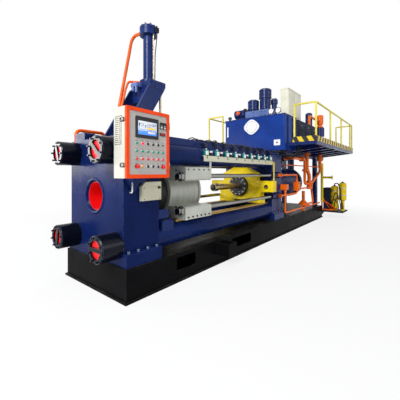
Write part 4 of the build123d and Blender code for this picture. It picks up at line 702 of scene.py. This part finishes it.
lug_low, lug_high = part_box("container_lugs")
housing_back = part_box("container_housing")[1].x
UPPER_LUG_BOLTS = 1.615
WEAR_PLATE = (0.8505, 0.8552)
bolts = Piece("container_bolts", "bolt_black", CONTAINER)
for dy, dz in ring_of(16, 0.372, 0.5):
    bolts.socket((housing_back, dy, AXIS + dz), AFT, 0.016, 0.014)
for side in (-1, 1):
    x, y = lug_low.x + 0.06, side * -lug_low.y
    for number in range(6):
        bolts.socket((x + number * 0.102, y, lug_low.z + 0.035), (0, side, 0), 0.014, 0.012)
    for number in range(5):
        bolts.socket((x + number * 0.125, y, UPPER_LUG_BOLTS), (0, side, 0), 0.012, 0.010)
for y in (-0.54, 0.54):
    for z in (0.93, 1.045, 1.46, 1.60):
        bolts.socket((lug_low.x, y, z), FORE, 0.013, 0.012)
bolts.done()
plates = Piece("lug_wear_plates", "way_brass", CONTAINER)
for side in (-1, 1):
    plates.box(lug_low.x + 0.03, lug_high.x - 0.03, side * 0.565, side * 0.457, *WEAR_PLATE, 0.001)
plates.done()

# Crosshead, stem clamp and stem

cross_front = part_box("crosshead")[0].x
clamp_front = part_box("stem_clamp")[0].x + 0.008
clamp_bolts = Piece("clamp_bolts", "bolt_zinc", CROSSHEAD)
for count, radius, turn, head, height in ((12, 0.205, 0.5, 0.016, 0.014), (6, 0.150, 0.25, 0.010, 0.010)):
    for dy, dz in ring_of(count, radius, turn):
        clamp_bolts.socket((clamp_front, dy, AXIS + dz), FORE, head, height)
for side in (-1, 1):
    for y, z in ((0.290, 1.367), (0.297, 1.115), (0.12, 0.935), (0.42, 0.99), (0.55, 1.31)):
        clamp_bolts.socket((cross_front, side * y, z), FORE, 0.015, 0.006)
clamp_bolts.done()
stem_low, stem_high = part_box("stem")
tip_radius = (stem_high.z - stem_low.z) / 2 - 0.014
tip = Piece("stem_tip", own_looks["stem_clamp"], CROSSHEAD, "machined_steel")
tip.lathe(
    (stem_low.x, 0, AXIS), FORE,
    [(0, 0), (tip_radius, 0), (tip_radius, 0.004), (tip_radius - 0.005, 0.007), (0, 0.007)], 40,
)
tip.done()
ports = Piece("crosshead_ports", "rubber", CROSSHEAD)
for side in (-1, 1):
    ports.lathe(
        (cross_front, side * 0.708, AXIS - 0.012), FORE,
        [(0, -0.010), (0.026, -0.010), (0.026, 0), (0.034, 0.003), (0.048, 0.003), (0.052, 0),
         (0.052, -0.004), (0, -0.0101)],
    )
ports.done()

# Switches, their wires, and the cables on the sensor duct

WIRE = 0.0085
rail_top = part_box("sensor_rail")[1].z
switch_low, switch_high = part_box("limit_switches")
SWITCH_HALF = 0.0475
PITCH = (switch_high.x - switch_low.x - 2 * SWITCH_HALF) / 8
heads = Piece("switch_heads", "dial_white")
blocks = Piece("switch_bases", "rubber")
levers = Piece("switch_levers", "rubber")
wires = Piece("switch_wires", "rubber")
for number in range(9):
    spot = Vector((switch_low.x + SWITCH_HALF + number * PITCH, switch_low.y, rail_top))
    heads.block(spot, (-0.034, 0.034, -0.006, 0.002, 0.012, 0.080), 0.003)
    heads.drum(*moved(spot, [(0, 0.018, 0.100), (0, 0.018, 0.118)]), 0.011, 0.002, 16)
    levers.block(spot, (-0.006, 0.006, -0.004, 0.006, -0.035, 0.010), 0.002)
    if number < 8:
        between = spot + Vector((PITCH / 2, 0, 0))
        blocks.block(between, (-0.050, 0.010, 0.004, 0.036, 0, 0.055), 0.003)
        heads.block(between, (-0.045, 0.005, 0.006, 0.034, 0.055, 0.085), 0.003)
        blocks.drum(*moved(between, [(-0.020, 0.020, 0.085), (-0.020, 0.020, 0.105)]), 0.010, 0.002, 14)
    levers.drum(*moved(spot, [(0, -0.006, -0.032), (0, 0.006, -0.032)]), 0.012, 0.002, 16)
    loop = 0.10 + 0.035 * ((number * 5) % 3)
    for shift in (-0.024, 0.024):
        path = [
            (0, 0.018, -0.004), (shift * 0.4, 0.018, loop * 0.6), (shift, 0.06, loop),
            (0.06 + shift, 0.13, loop * 0.9), (0.09 + shift, 0.165, 0.02), (0.10 + shift, 0.172, -0.07),
        ]
        wires.tube(moved(spot + Vector((0, 0, 0.118)), path), WIRE, 0.05, 10)
duct_low, duct_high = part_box("sensor_duct")
for line in range(3):
    path = []
    x = duct_low.x + 0.75 + line * 0.11
    step = 0
    while x < duct_high.x - 0.12:
        lift = 0.012 + 0.030 * ((step * 7 + line * 3) % 4) / 3 if step % 2 else 0.010
        path.append((x, duct_low.y + 0.022 + line * 0.022, duct_high.z + lift))
        x += 0.105 + 0.02 * ((step + line) % 2)
        step += 1
    wires.tube(path, WIRE, 0.04, 8)
for piece in (heads, blocks, levers, wires):
    piece.done()

# Die shear

shear_low, shear_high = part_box("shear_cylinder")
SHEAR_X = (shear_low.x + shear_high.x) / 2
CAP_LOW = shear_high.z - 0.145
cap_bolts = Piece("shear_bolts", "bolt_blue")
for dx, dy in ring_of(8, 0.104, 0.5):
    cap_bolts.hexagon((SHEAR_X + dx, dy, shear_high.z), UP, 0.028, 0.026)
for dx, dy in ring_of(6, 0.112):
    cap_bolts.socket((SHEAR_X + dx, dy, shear_low.z + 0.05), UP, 0.012, 0.014)
for side in (-1, 1):
    for station, rise in ((0.36, 0.07), (0.46, 0.07), (0.90, 0.86), (1.02, 0.86), (0.90, 0.94), (1.02, 0.94)):
        cap_bolts.hexagon((FRONT + station, side * 0.2525, PLATEN_TOP + rise), (0, side, 0), 0.028, 0.016)
cap_bolts.done()
platen_spot = (FRONT, 0, PLATEN_TOP)
valve = Piece("shear_valve_block", own_looks["valve_manifold"], slot="press_blue")
valve.block(platen_spot, (0.690, 0.794, -0.02, 0.135, 0.895, 0.955), 0.005)
valve.drum(*moved(platen_spot, [(0.715, 0.10, 0.83), (0.715, 0.10, 0.90)]), 0.026, 0.004, 24)
valve.drum(*moved(platen_spot, [(0.715, 0.02, 0.80), (0.715, 0.02, 0.90)]), 0.022, 0.004, 24)
valve.done()
knobs = Piece("shear_valve_ports", "pipe_orange")
knobs.drum(*moved(platen_spot, [(0.745, 0.11, 0.953), (0.745, 0.11, 0.990)]), 0.022, 0.004, 20)
knobs.drum(*moved(platen_spot, [(0.730, 0.06, 0.953), (0.730, 0.06, 0.978)]), 0.018, 0.004, 20)
knobs.done()
cap_spot = (SHEAR_X, 0, CAP_LOW)
fitting = Piece("shear_port_fitting", "nut_black")
fitting.block(cap_spot, (0.010, 0.080, -0.172, -0.128, 0.030, 0.110), 0.006)
fitting.drum(*moved(cap_spot, [(0.045, -0.150, 0.108), (0.045, -0.150, 0.136)]), 0.014, 0.003, 16)
path = [
    (0.045, -0.155, 0.035), (0.045, -0.158, -0.040), (0.060, -0.125, -0.120), (0.070, -0.085, -0.30),
    (0.075, -0.070, -0.730),
]
fitting.tube(moved(cap_spot, path), 0.008, 0.05, 10)
fitting.done()
shear_guides = Piece("shear_guide_nuts", "bolt_zinc")
for y in (-0.168, 0.168):
    shear_guides.hexagon((SHEAR_X + 0.105, y, PLATEN_TOP + 0.975), UP, 0.050, 0.030)
shear_guides.done()

# Oil tank: bare plates in place of its signs, level gauge and lid bolts

TANK_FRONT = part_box("tank_shell")[0].x
TANK_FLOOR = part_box("tank_shell")[0].z
BADGE_Y, BADGE_Z, BADGE_RADIUS = 0.03, 2.785, 0.188
lid_low, lid_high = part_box("tank_lid")
badge = Piece("tank_badge", "dial_white")
outline = []
for step in range(64):
    angle = 2 * pi * step / 64
    radius = BADGE_RADIUS * (1 + 0.055 * cos(4 * angle))
    outline.append((TANK_FRONT - 0.001, BADGE_Y + radius * 1.12 * cos(angle), BADGE_Z + radius * sin(angle)))
badge.plate(outline, (-0.006, 0, 0))
badge.box(TANK_FRONT - 0.005, TANK_FRONT, -0.765, -0.600, 2.255, 2.395, 0.001)
badge.done()
badge_ring = Piece("badge_ring", "bolt_blue")
badge_ring.lathe(
    (TANK_FRONT - 0.0068, BADGE_Y, BADGE_Z), FORE,
    [(0.145, 0), (0.151, 0), (0.151, 0.002), (0.145, 0.002), (0.145, 0)], 48,
)
badge_ring.box(TANK_FRONT - 0.007, TANK_FRONT - 0.004, -0.705, -0.660, 2.305, 2.345, 0.001)
badge_ring.done()
Piece("level_gauge", "dial_white").box(TANK_FRONT - 0.014, TANK_FRONT, 0.755, 0.795, 2.56, 2.86, 0.004).done()
gauge_frame = Piece("level_gauge_frame", "press_blue")
for z in (2.55, 2.87):
    gauge_frame.box(TANK_FRONT - 0.022, TANK_FRONT, 0.748, 0.802, z - 0.018, z + 0.018, 0.004)
gauge_frame.done()

lid_bolts = Piece("tank_lid_bolts", "bolt_blue")
lid_xs = (lid_low.x + 0.03, lid_high.x - 0.03)
lid_ys = (lid_low.y + 0.028, lid_high.y - 0.028)
spots = [(lid_xs[0] + step * (lid_xs[1] - lid_xs[0]) / 6, y) for step in range(7) for y in lid_ys]
spots += [(x, lid_ys[0] + step * (lid_ys[1] - lid_ys[0]) / 13) for step in range(1, 13) for x in lid_xs]
for x, y in spots:
    lid_bolts.hexagon((x, y, lid_high.z), UP, 0.022, 0.014)
lid_bolts.lathe(
    (TANK_FRONT + 0.09, 0.765, lid_high.z), UP,
    [(0, 0), (0.030, 0), (0.030, 0.05), (0.052, 0.055), (0.055, 0.10), (0.045, 0.115), (0, 0.12)], 24,
)
lid_bolts.done()

# Hoses between the rear platen's top, the tank's floor and the platform

hoses = Piece("tank_floor_hoses", "rubber")
for start, y in ((0.10, -0.44), (0.20, -0.50), (0.31, -0.55), (0.42, -0.59)):
    path = [
        (0, 0, -0.002), (0, 0, 0.055), (0.02, -0.16, 0.060), (0.05, -0.24, 0.050),
        (0.08, -0.26, TANK_FLOOR + 0.002 - PLATEN_TOP),
    ]
    hoses.tube(moved((REAR_FACE + start, y, PLATEN_TOP), path), 0.013, 0.05, 12)
for start, sag in ((0.62, 0.16), (0.72, 0.21), (0.84, 0.13)):
    path = [
        (0, -0.62, 0.002), (0, -0.66, -sag * 0.8), (0.06, -0.82, -sag), (0.12, -0.99, -sag * 0.5),
        (0.14, -1.03, 0.10),
    ]
    hoses.tube(moved((REAR_FACE + start, 0, TANK_FLOOR), path), 0.015, 0.10, 12)
hoses.done()

# Pressure gauges before the manifold

rims = Piece("gauge_rims", "bolt_blue")
dial_faces = Piece("gauge_faces", "dial_white")
hands = Piece("gauge_hands", "label_ink")
stems = Piece("gauge_stems", "bolt_zinc")
for y in (-0.50, -0.69):
    centre = Vector((TANK_FRONT + 0.055, y, lid_high.z + 0.105))
    foot = (centre.x + 0.012, y, lid_high.z)
    rims.lathe(
        centre, FORE,
        [(0, -0.030), (0.070, -0.030), (0.076, -0.020), (0.076, 0.010), (0.066, 0.012), (0.066, 0.004),
         (0, 0.004)],
        36,
    )
    dial_faces.drum(*moved(centre, [(-0.004, 0, 0), (-0.0065, 0, 0)]), 0.0655, 0.0, 36)
    for dy, dz in ring_of(10, 0.054, 0.25):
        hands.block(centre, (-0.0078, -0.0062, dy - 0.0016, dy + 0.0016, dz - 0.005, dz + 0.005))
    turn = Matrix.Rotation(radians(40), 3, "X")
    hands.block(centre, (-0.0085, -0.0062, -0.0022, 0.0022, -0.008, 0.044), 0.0, turn)
    stems.drum(foot, (foot[0], y, centre.z - 0.06), 0.010, 0.001, 16)
    stems.hexagon(foot, UP, 0.034, 0.022)
for piece in (rims, dial_faces, hands, stems):
    piece.done()

# Bands and bolts on the tank's valves, ports on its pump

manifold_low, manifold_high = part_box("valve_manifold")
valve_bands = Piece("valve_bands", "bolt_blue")
middle = (manifold_low.x + manifold_high.x) / 2
for x, y, radius, foot, levels, top in (
    (middle + 0.06, -0.17, 0.168, manifold_high.z, (0.355, 0.450, 0.540), 0.590),
    (middle - 0.02, 0.145, 0.155, manifold_high.z, (0.065, 0.180, 0.275), 0.320),
    (manifold_high.x + 0.078, -0.33, 0.095, lid_high.z, (0.435, 0.515), 0.560),
):
    inside, outside = radius - 0.01, radius + 0.004
    band = [
        (inside, 0), (radius, 0), (outside, 0.004), (outside, 0.014), (radius, 0.018), (inside, 0.018),
        (inside, 0),
    ]
    for rise in levels:
        valve_bands.lathe((x, y, foot + rise), UP, band, 40)
    for dx, dy in ring_of(6, radius * 0.62):
        valve_bands.hexagon((x + dx, y + dy, foot + top), UP, 0.026, 0.016)
for y in (-0.30, -0.20, 0.05, 0.30):
    for z in (0.05, 0.15):
        valve_bands.socket((manifold_low.x, y, manifold_low.z + z), FORE, 0.013, 0.012)
valve_bands.done()
pump_low, pump_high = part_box("tank_pump")
pump_z = lid_high.z + 0.195
ports = Piece("pump_ports", "pipe_orange")
for spot, axis, radius, step, length in (
    ((middle - 0.04, pump_high.y - 0.002, pump_z), FAR, 0.062, 0.017, 0.045),
    ((pump_low.x + 0.006, pump_low.y + 0.144, pump_z), FORE, 0.052, 0.016, 0.05),
):
    profile = [
        (0, 0), (radius, 0), (radius, 0.016), (radius - step, 0.020), (radius - step, length), (0, length),
    ]
    ports.lathe(spot, axis, profile, 28)
ports.done()

# Platform: feet of the rail posts and treads on the deck

posts_low, posts_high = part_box("railings")
POST_PITCH = 1.3
RAIL_INNER, RAIL_OUTER = -1.061, -1.569
feet = Piece("rail_post_feet", "rail_yellow")
x0, x1 = posts_low.x + 0.022, posts_high.x - 0.022
spots = [(x, y) for x in (x0, x1) for y in (RAIL_INNER, RAIL_OUTER)]
spots += [(x0 + number * POST_PITCH, RAIL_OUTER) for number in (1, 2, 3)]
for side in (1, -1):
    for x, y in spots:
        feet.block((x, side * y, DECK), (-0.030, 0.030, -0.030, 0.030, 0, 0.008), 0.002)
feet.done()

tread = Piece("deck_treads", "press_blue")
deck_low, deck_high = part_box("walkway_deck")
for side in (-1, 1):
    x = deck_low.x + 0.20
    while x < deck_high.x - 0.15:
        for step in range(5):
            spot = (x, side * (1.0 + step * 0.125), DECK)
            turn = Matrix.Rotation(radians(45 if step % 2 else -45), 3, "Z")
            tread.block(spot, (-0.022, 0.022, -0.004, 0.004, -0.0005, 0.0022), 0.0, turn)
        x += 0.10
tread.done()

# Pump enclosure

box_low, box_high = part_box("pump_enclosure")
vents = Piece("enclosure_vents", "enclosure_dark")
handles = Piece("enclosure_handles", "bolt_zinc")
for panel in range(3):
    x = box_low.x + 0.10 + panel * 0.57
    vents.box(x, x + 0.50, box_low.y - 0.006, box_low.y + 0.002, box_low.z + 0.05, box_high.z - 0.10, 0.003)
    for row in range(9):
        spot = (x + 0.06, box_low.y - 0.006, box_low.z + 0.13 + row * 0.045)
        vents.plate(moved(spot, [(0, 0, 0), (0, 0, 0.022), (0, -0.010, 0)]), (0.38, 0, 0))
    spot = (x + 0.25, box_low.y, box_high.z - 0.13)
    grip = [(-0.05, -0.004, 0), (-0.05, -0.030, 0), (0.05, -0.030, 0), (0.05, -0.004, 0)]
    handles.tube(moved(spot, grip), 0.005, 0.010, 10)
vents.done()
handles.done()

# Electrical cabinet

ebox_low, ebox_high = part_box("electrical_cabinet")
ebox_y = (ebox_low.y + ebox_high.y) / 2
half = (ebox_high.x - ebox_low.x) / 2
doors = Piece("electrical_doors", own_looks["electrical_cabinet"], slot="box_beige")
locks = Piece("electrical_locks", "rubber")
for side, y in ((-1, ebox_low.y), (1, ebox_high.y)):
    front = y + side * 0.014
    for x, lock in ((ebox_low.x + 0.025, half - 0.09), (ebox_low.x + 0.025 + half, half + 0.06)):
        doors.box(x, x + half - 0.05, y, front, ebox_low.z + 0.08, ebox_high.z - 0.06, 0.004)
        spot = (ebox_low.x + lock, front, ebox_low.z)
        locks.block(spot, (0, 0.022, 0, side * 0.016, 0.95, 1.13), 0.004)
doors.box(
    ebox_low.x - 0.003, ebox_low.x + 0.002, ebox_y - 0.09, ebox_y + 0.09,
    ebox_low.z + 0.1, ebox_high.z - 0.1, 0.001,
)
doors.box(
    ebox_low.x - 0.012, ebox_high.x + 0.012, ebox_low.y - 0.018, ebox_high.y + 0.018,
    ebox_high.z - 0.03, ebox_high.z + 0.008, 0.004,
)
for row in range(8):
    spot = (ebox_low.x - 0.003, ebox_y - 0.07, ebox_low.z + 1.55 + row * 0.024)
    doors.plate(moved(spot, [(0, 0, 0), (0, 0, 0.012), (-0.007, 0, 0)]), (0, 0.14, 0))
doors.done()
locks.done()

# Pipe fittings

PIPE_Y = -0.770
PORT_X = REAR_FACE + 0.290
BLOCK_X = REAR_FACE + 1.400
HUB_X = REAR_FACE + 2.500
HUB_Z = AXIS - 0.06
REAR_BACK = REAR_FACE + 0.570
PORT_ZS = (AXIS + 0.257, AXIS - 0.257)
# The flanges take the orange brightened as painted light
flanges = Piece("pipe_flanges", painted_light_orange, slot="pipe_orange")
pipe_bolts = Piece("pipe_bolts", "bolt_black")


def union(place, axis, length=0.045, radius=0.022):
    """Hexagon union nut with collars on a pipe."""
    axis = Vector(axis)
    start = Vector(place) - axis * length / 2
    profile = [
        (0, 0), (radius * 1.35, 0), (radius * 1.5, length * 0.12), (radius * 1.5, length * 0.88),
        (radius * 1.35, length), (0, length),
    ]
    flanges.lathe(start, axis, profile, 6)
    flanges.drum(start - axis * length * 0.35, start + axis * length * 1.35, radius * 1.22, 0.002, 20)


def flange(place, axis, radius, bolts=4, thick=0.022, gap=0.001):
    """Pair of flanges with bolts through both."""
    axis = Vector(axis)
    for shift in (-thick - gap, gap):
        start = Vector(place) + axis * shift
        flanges.drum(start, start + axis * thick, radius, 0.003, 32)
    turn = turn_to(axis)
    for a, b in ring_of(bolts, radius * 0.78, 0.5):
        spot = Vector(place) + turn @ Vector((a, b, 0))
        for way in (axis, -axis):
            pipe_bolts.hexagon(spot + way * (thick + gap), way, radius * 0.22, 0.014)


for z in PORT_ZS:
    for x in (PORT_X + 0.075, PORT_X + 0.38, BLOCK_X - 0.20):
        union((x, PIPE_Y, z), AFT)
union((BLOCK_X, PIPE_Y, HUB_Z + 0.155), UP)
union((BLOCK_X + 0.16, PIPE_Y, HUB_Z - 0.08), AFT)
union((HUB_X - 0.13, PIPE_Y, HUB_Z - 0.08), AFT)
flange((HUB_X - 0.42, PIPE_Y, HUB_Z + 0.45), UP, 0.078)
flange((HUB_X - 0.72, PIPE_Y, PLATEN_TOP - 0.065), AFT, 0.078)
flange((HUB_X - 0.23, PIPE_Y, HUB_Z + 0.95), UP, 0.100)
union((REAR_BACK, PIPE_Y, HUB_Z - 0.10), UP)
for x in (0.7, 1.9, 2.7):
    union((REAR_BACK + x, PIPE_Y, BASE_TOP + 0.13), AFT, 0.035)
for dx in (-0.07, 0.07):
    for dz in (-0.08, 0.08):
        pipe_bolts.socket((BLOCK_X + dx, PIPE_Y - 0.075, HUB_Z + dz), NEAR, 0.014, 0.012)
for dz in (-0.025, 0.025):
    for z in PORT_ZS:
        for dx in (-0.028, 0.028):
            pipe_bolts.socket((PORT_X + dx, PIPE_Y - 0.035, z + dz), NEAR, 0.009, 0.008)
hub_spot = (HUB_X, PIPE_Y, HUB_Z)
for z in (0.085, -0.112):
    flanges.drum(*moved(hub_spot, [(0, 0, z), (0, 0, z + 0.027)]), 0.098, 0.004, 36)
flanges.drum(*moved(hub_spot, [(0, -0.066, 0), (0, -0.100, 0)]), 0.050, 0.004, 28)
for a, b in ring_of(6, 0.036):
    pipe_bolts.socket((HUB_X + a, PIPE_Y - 0.100, HUB_Z + b), NEAR, 0.007, 0.006)
flanges.done()
pipe_bolts.done()

# Bolts on the main cylinder's cap and gland

main_low, main_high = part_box("main_cylinder")
main_bolts = Piece("main_cylinder_bolts", "bolt_blue")
for dy, dz in ring_of(16, 0.410, 0.5):
    main_bolts.hexagon((main_high.x - 0.002, dy, AXIS + dz), AFT, 0.046, 0.028)
for dy, dz in ring_of(12, 0.325, 0.5):
    main_bolts.socket((main_low.x, dy, AXIS + dz), FORE, 0.014, 0.014)
main_bolts.done()

# Rear pump unit: filters' caps, straps and hoses, and the cooler's fins

HOSE = 0.013
SHELF_TOP = 0.230
FILTER_HEIGHT = 0.860
filter_low, filter_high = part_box("rear_filters")
FILTER_X = (filter_low.x + filter_high.x) / 2
caps = Piece("filter_caps", "rubber")
straps = Piece("filter_straps", "bolt_zinc")
for y, height in ((-1.080, FILTER_HEIGHT), (-1.340, FILTER_HEIGHT * 1.14)):
    caps.lathe(
        (FILTER_X, y, SHELF_TOP + height - 0.006), UP,
        [(0, 0), (0.060, 0), (0.062, 0.020), (0.030, 0.026), (0.028, 0.05), (0, 0.05)], 24,
    )
    for share in (0.55, 0.80):
        straps.lathe(
            (FILTER_X, y, SHELF_TOP + height * share), UP,
            [(0.115, 0), (0.1225, 0), (0.1225, 0.022), (0.115, 0.022), (0.115, 0)], 36,
        )
path = [
    (0, -1.08, 1.10), (0, -1.08, 1.18), (-0.05, -1.20, 1.20), (-0.14, -1.30, 0.95), (-0.15, -1.33, 0.45),
    (-0.10, -1.34, 0.30),
]
caps.tube(moved((FILTER_X, 0, 0), path), 0.017, 0.07, 12)
for number, (y0, y1, top) in enumerate(((-1.02, -1.30, 0.98), (-1.10, -1.38, 0.84), (-0.98, -1.24, 0.66))):
    path = [
        (0.02, y0, 0.32), (0, y0 - 0.01, 0.50), (-0.03, (y0 + y1) / 2, top), (-0.02, y1, 0.46),
        (0.01, y1, 0.30),
    ]
    caps.tube(moved((FILTER_X - 0.135 - 0.012 * number, 0, 0), path), HOSE, 0.16, 12)
caps.done()
straps.done()
DROP_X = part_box("rear_drop_pipe")[1].x - 0.072
oil_hoses = Piece("filter_oil_hoses", "pipe_orange")
for number, (y, rise) in enumerate(((-0.99, 0.285), (-1.06, 0.330), (-1.14, 0.300))):
    path = [
        (DROP_X, PIPE_Y, 0.66 - 0.05 * number), (DROP_X + 0.03, y + 0.08, rise + 0.12),
        (DROP_X + 0.10, y, rise), (FILTER_X - 0.06, y - 0.06, rise - 0.01),
    ]
    oil_hoses.tube(path, HOSE, 0.12, 12)
oil_hoses.done()
fins = Piece("cooler_fins", "enclosure_dark")
for number in range(26):
    spot = (FILTER_X - 0.21, -0.945, 0.27 + number * 0.029)
    fins.block(spot, (0.015, 0.405, -0.008, 0.001, 0, 0.010), 0.001)
fins.done()


# Stage: floor, backdrop colour and lamps


def seen_rays(tree):
    """1 for the rays that show the background: from the camera, in gloss and through glass."""
    path = node(tree, "ShaderNodeLightPath")
    total = path.outputs["Is Camera Ray"]
    for name in ("Is Glossy Ray", "Is Transmission Ray"):
        total = maths(tree, "ADD", total, path.outputs[name], use_clamp=True)
    return total


def mixed_shader(tree, factor, one, two, target):
    mix = node(tree, "ShaderNodeMixShader", {0: factor, 1: one.outputs[0], 2: two.outputs[0]})
    feed(tree, target, {"Surface": mix.outputs[0]})


def plain_stage(name, colour, veil):
    """Diffuse floor that the camera sees as nearly white, with the object's shadow on it."""
    material = bpy.data.materials.new(name)
    material.use_nodes = True
    tree = material.node_tree
    tree.nodes.clear()
    diffuse = node(tree, "ShaderNodeBsdfDiffuse", {"Color": colour})
    white = node(tree, "ShaderNodeEmission", {"Strength": 1.0})
    place = node(tree, "ShaderNodeNewGeometry").outputs["Position"]
    far = node(tree, "ShaderNodeVectorMath", {0: place}, operation="LENGTH").outputs["Value"]
    fade = ramp(tree, far, 5.5, 9.0, veil, 1.0)
    amount = maths(tree, "MULTIPLY", seen_rays(tree), fade)
    mixed_shader(tree, amount, diffuse, white, node(tree, "ShaderNodeOutputMaterial"))
    return material


floor_mesh = bpy.data.meshes.new("floor")
reach = 60.0
corners = [(-reach, -reach, 0), (reach, -reach, 0), (reach, reach, 0), (-reach, reach, 0)]
floor_mesh.from_pydata(corners, [], [(0, 1, 2, 3)])
floor_mesh.materials.append(plain_stage("stage_floor", (0.80, 0.80, 0.80), 0.80))
floor = new_object("floor", floor_mesh)

world = bpy.data.worlds.new("world")
bpy.context.scene.world = world
world.use_nodes = True
tree = world.node_tree
background = tree.nodes["Background"]
feed(tree, background, {"Color": (0.86, 0.92, 1.0), "Strength": 0.34})
plain = node(tree, "ShaderNodeBackground", {"Color": (1, 1, 1), "Strength": 1.0})
mixed_shader(tree, seen_rays(tree), background, plain, tree.nodes["World Output"])


def lamp(name, place, target, size, power):
    light = bpy.data.lights.new(name, "AREA")
    light.shape = "RECTANGLE"
    light.size, light.size_y = size
    light.energy = power
    made = new_object(name, light)
    made.location = place
    made.rotation_euler = (Vector(target) - Vector(place)).to_track_quat("-Z", "Y").to_euler()


lamp("key", (-12.0, -2.5, 7.5), (-1.0, 0, 1.2), (4, 4), 1300)
lamp("near_fill", (0.0, -11.0, 5.0), (0, 0, 1.2), (9, 4), 375)
lamp("left_fill", (-7.3, 7.0, 2.65), (-0.5, 0.2, 1.3), (5, 2), 340)
lamp("back_fill", (9.0, 7.0, 8.0), (0, 0, 1.5), (7, 5), 450)

bpy.context.scene.view_settings.view_transform = "Standard"
